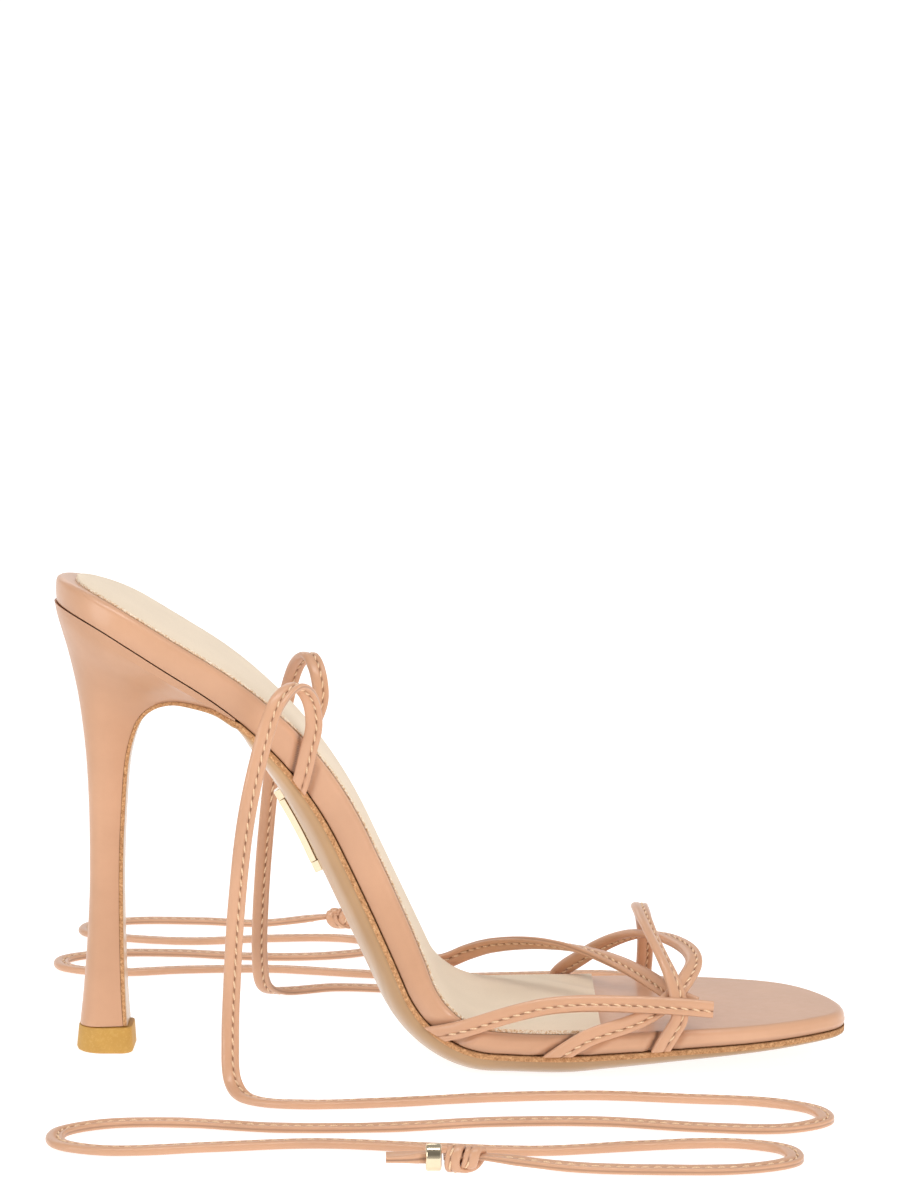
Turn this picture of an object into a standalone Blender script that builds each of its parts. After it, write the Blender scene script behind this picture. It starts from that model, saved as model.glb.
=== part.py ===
"""Lace-up stiletto sandal: a left shoe that stands empty on its heel and forefoot.

Sizes are in millimetres and become metres when a mesh is made. X runs from the back of the seat
to the toe, Y from the inner (medial) side of the foot to the outer (lateral) side, and Z up from
the floor. Most pieces are placed in the board's own directions: "along" its underside from the
back, "across" it, and "rise" square to it.
"""

import bisect
import math

import bmesh
import bpy
from mathutils import Vector

MM = 0.001

# Driving dimensions
SHOE_LENGTH = 201.3
HEEL_HEIGHT = 116.6
TREAD_HEIGHT = 6.3
GAP = 0.3

# Small steps: the width left at a point, and the step over which a direction is read
SLIVER = 0.12
NUDGE = 0.1
SHARP_ANGLE = 40.0

# Side profile of the board's underside, from the back to the tip. A length of None is worked out
# from the heel height or the shoe's length. Slopes are downward, in degrees.
BACK_SLOPE = 17.0
PROFILE = (
    # stretch, length, slope at its front end
    ("cupped back", 20.0, 32.5),
    ("seat", 18.8, 32.5),
    ("shank", 58.0, 64.5),
    ("waist", None, 64.5),
    ("ball", 28.0, 0.0),
    ("tread", 14.0, 0.0),
    ("toe break", 12.0, -2.5),
    ("toe spring", None, -0.2),
)

# Plan of the board, laid flat. The seat ends in a half ellipse and the toe in a fuller round.
# The lean raises the inner side at the waist, as a foot's arch needs.
SEAT_ROUND = 22.0
TOE_START = 192.0
TOE_FULLNESS = 2.4
TOE_HALF = 36.55
PLAN = (
    # along, middle line, half-width, lean
    (22.0, 0.0, 25.0, 0.0),
    (40.0, 0.1, 24.9, 0.0),
    (60.0, 0.5, 22.6, -0.02),
    (80.0, 1.0, 20.2, -0.045),
    (100.0, 1.4, 19.4, -0.055),
    (115.0, 1.8, 21.2, -0.055),
    (130.0, 2.0, 25.6, -0.045),
    (145.0, 1.8, 31.0, -0.025),
    (160.0, 1.3, 35.0, -0.008),
    (176.0, 1.05, 36.7, 0.0),
    (192.0, 1.05, TOE_HALF, 0.0),
    (210.0, 1.5, 35.2, 0.0),
    (229.0, 1.7, 35.6, 0.0),
    (241.0, 1.9, TOE_HALF, 0.0),
    (246.5, 0.8, TOE_HALF, 0.0),
    (250.0, -0.8, TOE_HALF, 0.0),
    (253.0, -2.6, TOE_HALF, 0.0),
)

# Thicknesses of the board and of the outsole below it. At the tread the outsole would reach a
# little below the floor, which presses it flat.
RAW_EDGE = 1.3
RAW_EDGE_PROUD = 0.6
TREAD_PRESS = 0.1
TREAD_BULGE = TREAD_HEIGHT - GAP - RAW_EDGE + TREAD_PRESS
LAYERS = (
    # along, board, outsole bulge, flat share of the outsole's width
    (0.0, 6.4, 0.3, 0.7),
    (52.0, 7.2, 0.6, 0.5),
    (68.0, 7.5, 4.0, 0.15),
    (90.0, 7.5, 5.6, 0.12),
    (125.0, 7.0, 5.9, 0.2),
    (146.0, 6.0, 5.5, 0.45),
    (158.0, 5.2, 5.2, 0.58),
    (168.0, 4.8, TREAD_BULGE, 0.62),
    (182.0, 4.7, TREAD_BULGE, 0.62),
    (192.0, 4.6, 4.3, 0.58),
    (210.0, 4.3, 3.5, 0.55),
    (232.0, 3.9, 2.4, 0.45),
    (252.0, 3.6, 1.2, 0.4),
)
BOARD_TOP_ROUND = 2.0
BOARD_FOOT_ROUND = 0.7
BOARD_STATIONS = 54
OUTSOLE_STATIONS = 52
TIP_ROUND = 14.0
TIP_SHARP = 3.0

# The outsole's flap over the heel's arch and down its breast
FLAP_STATIONS = 40
FLAP_START = 7.0
FLAP_EDGE = 0.95
FLAP_BULGE = 0.15
FLAP_FLAT = 0.8
ARCH_LEVELS = 3.0
ARCH_BULGE = 0.6

# Heel, from the seat down to the top piece. The breast is its flat front.
BREAST_ALONG = 55.0
HEEL_ROWS = (
    # level, back x, back z, breast x, breast z, half-width, breast half-width
    (0.0, 0.0, 116.3, 47.2, 87.9, 25.0, 23.3),
    (1.0, 0.5, 113.4, 42.0, 90.3, 23.4, 19.6),
    (2.0, 1.6, 109.4, 35.8, 91.4, 20.2, 15.6),
    (3.0, 2.9, 104.7, 30.2, 91.5, 16.2, 11.6),
    (4.0, 4.2, 99.2, 25.2, 90.0, 12.4, 8.4),
    (5.0, 5.5, 92.6, 21.4, 86.8, 9.3, 6.1),
    (6.0, 6.6, 84.6, 19.0, 81.6, 7.2, 4.8),
    (7.0, 7.5, 75.0, 17.4, 74.4, 5.9, 4.1),
    (8.0, 8.0, 63.5, 16.5, 63.5, 5.1, 3.7),
    (9.0, 8.1, 52.0, 15.9, 52.0, 4.8, 3.6),
    (10.0, 7.9, 40.0, 15.7, 40.0, 4.9, 3.8),
    (11.0, 7.2, 28.0, 15.8, 28.0, 5.4, 4.4),
    (12.0, 6.2, 16.0, 16.1, 16.0, 6.1, 5.2),
    (13.0, 5.2, 7.0, 16.6, 7.0, 6.7, 5.9),
)
HEEL_LEVELS = 27
HEEL_SIDE_POINTS = 11
HEEL_WIDEST_SHARE = 0.42
LIFT_ROWS = (
    # z, back x, front x, half-width
    (0.0, 5.1, 18.6, 6.6),
    (0.9, 4.3, 19.2, 7.3),
    (6.7, 4.9, 18.9, 6.9),
)
LIFT_CORNER = 2.6

SOCK_THICKNESS = 0.7
SOCK_INSET = 2.6
SOCK_BACK = 4.6
SOCK_FRONT = 190.6
SOCK_STATIONS = 44

# Straps and ties are folded leather of one width
STRAP_WIDTH = 4.6
STRAP_THICKNESS = 2.0
STRAP_CORNER = 0.65
STRAP_STEP = 4.0
TIE_STEP = 9.4
CUTTER_REACH = 8.0
TOE_AXIS = (0.0, 1.0, 13.0)
MEDIAL, LATERAL = -1.0, 1.0

# Toe straps. An end row lies on the board's side wall and is given by side, along and rise.
# The other rows are points in the air above the board.
TOE_STRAP_ROUTES = {
    "back_inner": {
        "start": ((MEDIAL, 147.0, -2.5), (MEDIAL, 150.5, 1.2), (MEDIAL, 155.0, 4.8)),
        "points": (
            # x, y, z
            (115.0, -35.0, 16.4),
            (123.9, -35.4, 18.6),
            (132.7, -35.5, 19.4),
            (141.6, -35.3, 19.3),
            (150.0, -35.0, 18.9),
            (157.1, -34.9, 18.5),
            (165.5, -34.2, 17.6),
        ),
        "end": (),
    },
    "middle": {
        "start": ((MEDIAL, 176.0, -2.5), (MEDIAL, 181.0, 1.2), (MEDIAL, 187.6, 4.8)),
        "points": (
            (146.0, -34.8, 14.6),
            (152.4, -32.4, 17.6),
            (156.6, -30.4, 21.2),
            (159.8, -26.2, 24.4),
            (161.6, -20.2, 26.6),
            (160.9, -13.2, 28.0),
            (158.2, -6.2, 28.8),
            (153.9, 1.8, 29.0),
            (149.3, 9.6, 28.0),
            (144.7, 17.2, 25.5),
            (139.8, 24.4, 21.8),
            (135.2, 31.4, 17.4),
        ),
        "end": ((LATERAL, 182.0, 5.2), (LATERAL, 180.0, 1.6), (LATERAL, 178.0, -2.5)),
    },
    "back_outer": {
        "start": ((LATERAL, 139.0, -2.5), (LATERAL, 143.0, 1.8), (LATERAL, 147.5, 5.8)),
        "points": (
            (105.0, 33.4, 18.2),
            (111.4, 27.4, 21.2),
            (120.5, 18.4, 23.7),
            (128.8, 9.8, 24.8),
            (136.3, 1.8, 24.7),
            (143.6, -7.4, 23.7),
            (150.2, -18.0, 22.1),
            (154.2, -25.2, 20.7),
            (157.2, -28.9, 19.5),
            (161.5, -30.4, 17.9),
        ),
        "end": (),
    },
    "front": {
        "start": ((MEDIAL, 203.4, -2.5), (MEDIAL, 205.4, 1.2), (MEDIAL, 207.8, 4.8)),
        "points": (
            (157.2, -34.1, 15.4),
            (156.8, -32.9, 20.2),
            (155.2, -29.6, 25.2),
            (153.2, -24.4, 29.2),
            (151.1, -16.4, 32.8),
            (149.6, -7.0, 35.4),
            (149.0, 2.6, 36.2),
            (149.6, 12.4, 34.4),
            (151.0, 21.6, 29.9),
            (151.9, 29.4, 23.6),
            (152.1, 35.0, 16.4),
        ),
        "end": ((LATERAL, 204.4, 4.6), (LATERAL, 204.6, 1.2), (LATERAL, 204.6, -2.5)),
    },
}

# Ankle ties. Each comes up out of the seam at the waist, bends over outward, falls to the floor
# and lies there in loose curves. The turn is how far the strap's upper face leans to the shoe.
TIE_SEAM = ((79.5, -2.5), (76.4, 1.6), (72.6, 6.6))
TIE_REST = GAP + STRAP_THICKNESS / 2 + 0.05
TIE_ROUTES = {
    "medial": {
        "side": MEDIAL,
        "fall": (
            # x, distance from the shoe's middle, z, turn
            (66.4, 22.0, 87.0, 84.0),
            (65.4, 25.2, 94.2, 50.0),
            (62.2, 31.6, 98.0, 0.0),
            (58.0, 38.0, 94.8, -48.0),
            (54.8, 42.0, 86.0, -78.0),
            (50.6, 44.6, 67.0, -90.0),
            (48.2, 45.6, 46.0, -90.0),
            (47.0, 46.2, 27.0, -88.0),
            (46.6, 48.2, 13.4, -66.0),
            (47.4, 53.4, 4.2, -28.0),
        ),
        "floor": (
            # x, distance from the shoe's middle
            (51.4, 60.0),
            (64.0, 65.6),
            (86.0, 63.6),
            (110.0, 58.6),
            (135.0, 56.6),
            (158.0, 60.0),
            (176.0, 63.4),
            (187.0, 71.0),
            (188.4, 82.0),
            (178.0, 89.4),
            (159.0, 88.0),
            (136.0, 82.6),
            (110.0, 83.0),
            (85.0, 88.0),
            (60.0, 88.4),
            (37.0, 83.6),
            (20.0, 84.6),
            (9.6, 92.4),
            (10.6, 103.6),
            (23.0, 109.4),
            (46.0, 106.0),
            (70.0, 102.8),
            (95.0, 106.6),
            (120.0, 109.6),
            (145.0, 104.8),
            (164.0, 102.6),
            (176.6, 108.2),
            (177.6, 119.0),
            (166.0, 125.6),
            (147.0, 126.4),
            (128.0, 124.0),
        ),
        "end_heading": (-20.0, 0.4),
    },
    "lateral": {
        "side": LATERAL,
        "fall": (
            (66.4, 24.0, 87.0, 84.0),
            (65.6, 27.4, 94.0, 50.0),
            (63.0, 33.8, 97.6, 0.0),
            (59.6, 40.2, 94.4, -48.0),
            (56.8, 44.4, 85.6, -78.0),
            (53.0, 47.2, 67.0, -90.0),
            (50.6, 48.4, 46.0, -90.0),
            (49.2, 49.0, 27.0, -88.0),
            (48.8, 51.0, 13.4, -66.0),
            (49.8, 56.2, 4.2, -28.0),
        ),
        "floor": (
            (54.6, 63.0),
            (69.0, 67.6),
            (93.0, 64.0),
            (118.0, 59.6),
            (139.0, 61.4),
            (153.0, 68.0),
            (154.0, 79.0),
            (143.0, 85.4),
            (122.0, 83.4),
            (98.0, 81.6),
            (74.0, 86.4),
            (50.0, 92.6),
            (26.0, 91.6),
            (6.0, 88.0),
            (-8.0, 94.4),
            (-9.4, 106.0),
            (2.0, 114.0),
            (22.0, 114.4),
            (43.0, 109.6),
            (63.0, 110.0),
            (77.0, 117.4),
            (78.4, 129.0),
            (67.0, 136.6),
            (47.0, 136.0),
            (25.0, 132.0),
            (6.0, 136.2),
            (-6.6, 144.4),
            (-6.4, 156.0),
            (6.0, 162.6),
            (26.0, 162.0),
            (44.0, 158.8),
        ),
        "end_heading": (20.0, -2.0),
    },
}

# Knot, ring bead and flared end of each tie, in line with its last stretch
KNOT_LENGTH = 9.0
KNOT_RADIUS = 3.5
KNOT_WIDTH = 1.15
KNOT_BLUNT = 0.14
KNOT_STATIONS = (0.0, 0.12, 0.3, 0.5, 0.7, 0.88, 1.0)
TIP_HEIGHT = GAP + KNOT_RADIUS
BEAD_LENGTH = 3.6
BEAD_RADIUS = 3.1
BEAD_BORE = 1.9
BEAD_ROUND = 0.6
NECK_RADIUS = 1.4
END_ROWS = (
    # distance from the bead's start, radius, height share, width share
    (0.0, NECK_RADIUS, 1.0, 1.0),
    (4.2, NECK_RADIUS, 1.0, 1.0),
    (7.2, NECK_RADIUS, 0.9, 1.6),
    (12.6, NECK_RADIUS, 0.75, 2.0),
)

# Metal bar under the waist, bent to follow the outsole and raised a little between its feet
PLATE_ALONG = 90.2
PLATE_LENGTH = 25.0
PLATE_WIDTH = 5.0
PLATE_THICKNESS = 1.5
PLATE_FOOT = 2.9
PLATE_SHOULDER = 0.4
PLATE_STAND_OFF = 0.3
PLATE_STEPS = 8
PLATE_BEVEL = 0.12

# sRGB colour of 0 to 255, roughness, metallic
FINISHES = {
    "nude_leather": ((222, 170, 135), 0.42, 0.0),
    "sock_leather": ((236, 222, 198), 0.62, 0.0),
    "sole_leather": ((203, 172, 124), 0.38, 0.0),
    "top_piece_rubber": ((212, 164, 84), 0.55, 0.0),
    "pale_gold": ((232, 205, 150), 0.2, 1.0),
}


def eased(rows, column, key):
    """Reads a column of a table on a smooth curve through its rows. The first column rises."""
    keys = [row[0] for row in rows]
    values = [row[column] for row in rows]
    if key <= keys[0]:
        return values[0]
    if key >= keys[-1]:
        return values[-1]
    low = bisect.bisect_right(keys, key) - 1
    high = low + 1

    def slope(index):
        before = max(index - 1, 0)
        after = min(index + 1, len(keys) - 1)
        return (values[after] - values[before]) / (keys[after] - keys[before])

    span = keys[high] - keys[low]
    share = (key - keys[low]) / span
    rest = 1.0 - share
    bend_low = (slope(low) * span - (values[high] - values[low])) * rest
    bend_high = (slope(high) * span - (values[high] - values[low])) * share
    return values[low] * rest + values[high] * share + share * rest * (bend_low - bend_high)


def arc_step(length, start, end):
    """How far an arc reaches along X and up Z while its downward slope goes from start to end."""
    if abs(end - start) < 1e-9:
        return length * math.cos(start), -length * math.sin(start)
    radius = length / (end - start)
    return radius * (math.sin(end) - math.sin(start)), radius * (math.cos(end) - math.cos(start))


def walk_profile():
    """The stretches of the side profile as (along, length, start slope, end slope, x, z)."""
    slopes = [math.radians(BACK_SLOPE)] + [math.radians(row[2]) for row in PROFILE]
    drop = HEEL_HEIGHT - TREAD_HEIGHT
    for index, (name, length, _) in enumerate(PROFILE):
        if name == "tread":
            break
        if length:
            drop += arc_step(length, slopes[index], slopes[index + 1])[1]
    stretches = []
    along, x, z = 0.0, 0.0, HEEL_HEIGHT
    for index, (name, length, _) in enumerate(PROFILE):
        start, end = slopes[index], slopes[index + 1]
        if name == "waist":
            length = drop / math.sin(start)
        elif name == "toe spring":
            length = (SHOE_LENGTH - x) / arc_step(1.0, start, end)[0]
        stretches.append((along, length, start, end, x, z))
        step = arc_step(length, start, end)
        along, x, z = along + length, x + step[0], z + step[1]
    return stretches, along


STRETCHES, BOARD_LENGTH = walk_profile()


def spine(along):
    """X, Z and downward slope of the board's underside."""
    begins = [row[0] for row in STRETCHES]
    index = max(bisect.bisect_right(begins, along) - 1, 0)
    begin, length, start, end, x, z = STRETCHES[index]
    slope = start + (end - start) * (along - begin) / length
    step = arc_step(along - begin, start, slope)
    return x + step[0], z + step[1], slope


def place(along, across, rise):
    x, z, slope = spine(along)
    rise += across * eased(PLAN, 3, along)
    return Vector((x + rise * math.sin(slope), across, z + rise * math.cos(slope)))


def plan(along):
    """Middle line and half-width of the board."""
    middle = eased(PLAN, 1, along)
    half = eased(PLAN, 2, along)
    if along < SEAT_ROUND:
        half *= math.sqrt(max(1.0 - (1.0 - along / SEAT_ROUND) ** 2, 0.0))
    if along > TOE_START:
        share = min((along - TOE_START) / (BOARD_LENGTH - TOE_START), 1.0)
        half *= math.sqrt(1.0 - share**TOE_FULLNESS)
    return middle, half


def edge(side, along):
    middle, half = plan(along)
    return middle + side * half


def srgb(colour):
    def linear(value):
        value /= 255.0
        return value / 12.92 if value <= 0.04045 else ((value + 0.055) / 1.055) ** 2.4

    return [linear(value) for value in colour] + [1.0]


def finish(name):
    """The named material, made on its first use."""
    material = bpy.data.materials.get(name)
    if material is None:
        colour, roughness, metallic = FINISHES[name]
        material = bpy.data.materials.new(name)
        material.use_nodes = True
        shader = material.node_tree.nodes["Principled BSDF"]
        shader.inputs["Base Color"].default_value = srgb(colour)
        shader.inputs["Roughness"].default_value = roughness
        shader.inputs["Metallic"].default_value = metallic
    return material


def add_piece(name, bm, material):
    bmesh.ops.recalc_face_normals(bm, faces=bm.faces)
    mesh = bpy.data.meshes.new(name)
    bm.to_mesh(mesh)
    bm.free()
    mesh.shade_smooth()
    mesh.set_sharp_from_angle(angle=math.radians(SHARP_ANGLE))
    mesh.materials.append(finish(material))
    piece = bpy.data.objects.new(name, mesh)
    bpy.context.scene.collection.objects.link(piece)
    return piece


def skin(bm, rings):
    """Side faces between closed rings of equal length. Returns the rings as vertices."""
    rows = [[bm.verts.new(point * MM) for point in ring] for ring in rings]
    for low, high in zip(rows, rows[1:]):
        for index in range(len(low)):
            after = (index + 1) % len(low)
            bm.faces.new((low[index], low[after], high[after], high[index]))
    return rows


def ladder(bm, ring):
    """Fills a ring with rungs from its one side to the other, starting at its first point."""
    left, right = 0, len(ring)
    while left + 1 <= right - 1:
        corners = [ring[left], ring[left + 1]]
        if right - 1 > left + 1:
            corners.append(ring[right - 1])
        if right < len(ring):
            corners.append(ring[right])
        if len(corners) > 2:
            bm.faces.new(corners)
        left += 1
        right -= 1


def loft(name, rings, material):
    """A solid through rings of points, with its two ends filled."""
    bm = bmesh.new()
    rows = skin(bm, rings)
    bm.faces.new(rows[0])
    bm.faces.new(rows[-1])
    return add_piece(name, bm, material)


def spread(start, end, count, crowd_start, crowd_end):
    """Evenly spread values, crowded towards the ends that ask for it."""
    values = []
    for index in range(count + 1):
        share = index / count
        if crowd_start and crowd_end:
            share = 0.25 * share + 0.75 * (0.5 - 0.5 * math.cos(math.pi * share))
        elif crowd_start:
            share = 0.3 * share + 0.7 * (1.0 - math.cos(math.pi / 2 * share))
        elif crowd_end:
            share = 0.3 * share + 0.7 * math.sin(math.pi / 2 * share)
        values.append(start + (end - start) * share)
    return values


def plan_loop(inset):
    """The board's plan as (along, across), medial side first, moved inward by the inset."""
    stations = spread(0.0, BOARD_LENGTH, BOARD_STATIONS, True, True)
    loop = [(along, edge(MEDIAL, along)) for along in stations]
    loop += [(along, edge(LATERAL, along)) for along in stations[-2:0:-1]]
    moved = []
    for index, (along, across) in enumerate(loop):
        before = loop[index - 1]
        after = loop[(index + 1) % len(loop)]
        run = (after[0] - before[0], after[1] - before[1])
        size = math.hypot(*run)
        moved.append((along - inset * run[1] / size, across + inset * run[0] / size))
    return moved


def build_board():
    """Wrapped board: a level underside, a side wall and a rounded upper edge."""
    contours = [(BOARD_FOOT_ROUND, 0.0, 0.0), (0.0, 0.0, BOARD_FOOT_ROUND)]
    for turn in (0.0, 45.0, 90.0):
        angle = math.radians(turn)
        inset = BOARD_TOP_ROUND * (1.0 - math.cos(angle))
        contours.append((inset, 1.0, BOARD_TOP_ROUND * (math.sin(angle) - 1.0)))
    rings = []
    for inset, share, offset in contours:
        ring = []
        for along, across in plan_loop(inset):
            thickness = eased(LAYERS, 1, along)
            ring.append(place(along, across, share * thickness + offset))
        rings.append(ring)
    bm = bmesh.new()
    rows = skin(bm, rings)
    ladder(bm, rows[0])
    ladder(bm, rows[-1])
    return add_piece("insole_board", bm, "nude_leather")


def sock_half_width(along):
    if along >= SEAT_ROUND:
        return plan(along)[1] - SOCK_INSET
    share = (SEAT_ROUND - along) / (SEAT_ROUND - SOCK_BACK)
    return (plan(SEAT_ROUND)[1] - SOCK_INSET) * math.sqrt(max(1.0 - share**2, 0.0008))


def build_sock():
    """Sock lining on the board, from near its back to a straight edge at the ball."""
    rings = []
    for along in spread(SOCK_BACK, SOCK_FRONT, SOCK_STATIONS, True, False):
        middle = plan(along)[0]
        half = sock_half_width(along)
        low = eased(LAYERS, 1, along) + GAP
        high = low + SOCK_THICKNESS
        slant = min(0.5 * SOCK_THICKNESS, 0.5 * half)
        section = ((-half, low), (-half + slant, high), (half - slant, high), (half, low))
        rings.append([place(along, middle + across, rise) for across, rise in section])
    return loft("sock_lining", rings, "sock_leather")


def heel_row(level):
    return [eased(HEEL_ROWS, column, level) for column in range(1, 7)]


def heel_half_width(share, widest, breast):
    """Half-width of a heel section at a share of the way from its back to its breast."""
    if share < HEEL_WIDEST_SHARE:
        return widest * math.sqrt(1.0 - (1.0 - share / HEEL_WIDEST_SHARE) ** 2)
    run = (share - HEEL_WIDEST_SHARE) / (1.0 - HEEL_WIDEST_SHARE)
    return widest + (breast - widest) * run**2


def both_sides(point, shares):
    """A ring from its back, up the medial side to the front and back down the lateral side."""
    ring = [point(shares[0], MEDIAL)]
    ring += [point(share, MEDIAL) for share in shares[1:]]
    ring += [point(share, LATERAL) for share in reversed(shares[1:])]
    return ring


def build_heel():
    """Covered heel: its top follows the board's underside, its front is flat."""
    shares = [1.0 - math.cos(math.pi / 2 * k / HEEL_SIDE_POINTS) for k in range(HEEL_SIDE_POINTS + 1)]

    def seat_point(share, side):
        along = share * BREAST_ALONG
        return place(along, edge(side, along), -GAP)

    rings = [both_sides(seat_point, shares)]
    last_level = HEEL_ROWS[-1][0]
    for index in range(1, HEEL_LEVELS + 1):
        back_x, back_z, front_x, front_z, widest, breast = heel_row(last_level * index / HEEL_LEVELS)

        def ring_point(share, side):
            half = heel_half_width(share, widest, breast)
            x = back_x + (front_x - back_x) * share
            z = back_z + (front_z - back_z) * share
            return Vector((x, side * half, z))

        rings.append(both_sides(ring_point, shares))
    bm = bmesh.new()
    rows = skin(bm, rings)
    ladder(bm, rows[0])
    bm.faces.new(rows[-1])
    return add_piece("heel", bm, "nude_leather")


def build_lift():
    """Rubber top piece: a D with round corners at the breast and a rounded lower edge."""
    rings = []
    for z, back, front, half in LIFT_ROWS:
        ring = []
        round_centre = back + half
        for turn in range(0, 181, 20):
            angle = math.radians(90.0 + turn)
            ring.append(Vector((round_centre + half * math.cos(angle), half * math.sin(angle), z)))
        for side in (MEDIAL, LATERAL):
            turns = (0.0, 45.0, 90.0) if side == MEDIAL else (90.0, 45.0, 0.0)
            for turn in turns:
                angle = math.radians(turn)
                x = front - LIFT_CORNER + LIFT_CORNER * math.sin(angle)
                y = half - LIFT_CORNER + LIFT_CORNER * math.cos(angle)
                ring.append(Vector((x, side * y, z)))
        rings.append(ring)
    return loft("heel_top_piece", rings, "top_piece_rubber")


def sole_section(middle, half, thickness_edge, bulge, flat):
    """Across and depth of the outsole's outline: a raw edge, then a round into a flat middle."""
    turns = [math.radians(turn) for turn in (0.0, 22.5, 45.0, 67.5, 90.0)]
    reach = [half * (flat + (1.0 - flat) * math.cos(turn)) for turn in turns]
    depth = [thickness_edge + bulge * math.sin(turn) for turn in turns]
    medial = [(middle - y, d) for y, d in zip(reach, depth)]
    lateral = [(middle + y, d) for y, d in zip(reversed(reach), reversed(depth))]
    return [(middle - half, 0.0)] + medial + lateral + [(middle + half, 0.0)]


def build_outsole():
    """Outsole under the board, then a thin flap over the heel's arch and down its breast."""
    rings = []
    tip = BOARD_LENGTH - SLIVER
    for along in spread(tip, BREAST_ALONG + FLAP_START, OUTSOLE_STATIONS, True, False):
        middle, half = plan(along)
        bulge = eased(LAYERS, 2, along) * math.sqrt(min(1.0, half / TIP_ROUND))
        flat = eased(LAYERS, 3, along)
        proud = RAW_EDGE_PROUD * min(1.0, half / TIP_SHARP)
        section = sole_section(middle, half + proud, RAW_EDGE, bulge, flat)
        ring = [place(along, across, -GAP - depth) for across, depth in section]
        for point in ring:
            point.z = max(point.z, 0.0)
        rings.append(ring)
    last_level = HEEL_ROWS[-1][0]
    for index in range(1, FLAP_STATIONS + 1):
        level = last_level * index / FLAP_STATIONS
        front_x, front_z = heel_row(level)[2:4]
        before = heel_row(level - NUDGE)[2:4]
        after = heel_row(min(level + NUDGE, last_level))[2:4]
        run = Vector((after[0] - before[0], 0.0, after[1] - before[1])).normalized()
        out = Vector((-run.z, 0.0, run.x))
        share = max(0.0, 1.0 - level / ARCH_LEVELS)
        thickness = FLAP_EDGE + share * (RAW_EDGE - FLAP_EDGE)
        half = heel_row(level)[5] + share * RAW_EDGE_PROUD
        middle = share * plan(BREAST_ALONG)[0]
        section = sole_section(middle, half, thickness, FLAP_BULGE + share * ARCH_BULGE, FLAP_FLAT)
        start = Vector((front_x, 0.0, front_z)) + out * GAP
        rings.append([start + out * depth + Vector((0.0, across, 0.0)) for across, depth in section])
    return loft("outsole", rings, "sole_leather")


def wall_point(side, along, rise):
    """Centre of a strap that lies on the board's side wall, and the wall's outward direction."""
    slope = (edge(side, along + NUDGE) - edge(side, along - NUDGE)) / (2 * NUDGE)
    forward = (place(along + NUDGE, 0.0, 0.0) - place(along - NUDGE, 0.0, 0.0)).normalized()
    out = (Vector((0.0, side, 0.0)) - forward * (side * slope)).normalized()
    wall = place(along, edge(side, along), rise)
    return wall + out * (GAP + STRAP_THICKNESS / 2), out


def over_toes(point):
    """A point in the air with the direction in which a strap there faces, away from the toes."""
    centre = Vector((point[0], TOE_AXIS[1], TOE_AXIS[2]))
    return Vector(point), (Vector(point) - centre).normalized()


def route_table(route):
    """Rows of (distance, x, y, z, face x, face y, face z) along a route of points and faces."""
    rows = []
    distance = 0.0
    for index, (point, face) in enumerate(route):
        if index:
            distance += (point - route[index - 1][0]).length
        rows.append((distance, *point, *face))
    return rows


def strap_rings(route, step):
    """Rings of a flat strap with rounded edges on a smooth curve along a route."""
    rows = route_table(route)
    length = rows[-1][0]
    count = max(2, round(length / step))

    def curve(distance, first):
        return Vector([eased(rows, column, distance) for column in range(first, first + 3)])

    wide = STRAP_WIDTH / 2
    thick = STRAP_THICKNESS / 2
    corner = STRAP_CORNER
    profile = [(-wide, -thick + corner), (-wide + corner, -thick), (wide - corner, -thick)]
    profile += [(wide, -thick + corner), (wide, thick - corner), (wide - corner, thick)]
    profile += [(-wide + corner, thick), (-wide, thick - corner)]
    rings = []
    for index in range(count + 1):
        distance = length * index / count
        centre = curve(distance, 1)
        ahead = min(distance + NUDGE, length)
        behind = max(distance - NUDGE, 0.0)
        run = (curve(ahead, 1) - curve(behind, 1)).normalized()
        face = curve(distance, 4)
        face = (face - run * face.dot(run)).normalized()
        side = run.cross(face)
        rings.append([centre + side * across + face * up for across, up in profile])
    return rings


def build_seam_cutter():
    """Guide below the seam between board and outsole. It trims the straps that go into the seam."""
    rings = []
    for along in spread(BREAST_ALONG, TOE_START + TOE_HALF, OUTSOLE_STATIONS, False, False):
        middle, half = plan(along)
        reach = half + CUTTER_REACH
        section = ((-reach, 0.0), (-reach, -CUTTER_REACH), (reach, -CUTTER_REACH), (reach, 0.0))
        rings.append([place(along, middle + across, rise) for across, rise in section])
    cutter = loft("seam_guide", rings, "sole_leather")
    cutter.hide_render = True
    cutter.display_type = "WIRE"
    return cutter


def add_boolean(piece, other, operation):
    boolean = piece.modifiers.new(other.name, "BOOLEAN")
    boolean.operation = operation
    boolean.solver = "EXACT"
    boolean.object = other


def build_toe_straps(cutter):
    """The upper: four straps joined where they cross, cut off level with the seam."""
    straps = []
    for name, row in TOE_STRAP_ROUTES.items():
        route = [wall_point(*end) for end in row["start"]]
        route += [over_toes(point) for point in row["points"]]
        route += [wall_point(*end) for end in row["end"]]
        straps.append(loft("strap_" + name, strap_rings(route, STRAP_STEP), "nude_leather"))
    upper = straps[0]
    upper.name = "toe_straps"
    for strap in straps[1:]:
        strap.hide_render = True
        strap.display_type = "WIRE"
        add_boolean(upper, strap, "UNION")
    add_boolean(upper, cutter, "DIFFERENCE")
    return [upper] + straps[1:]


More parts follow.
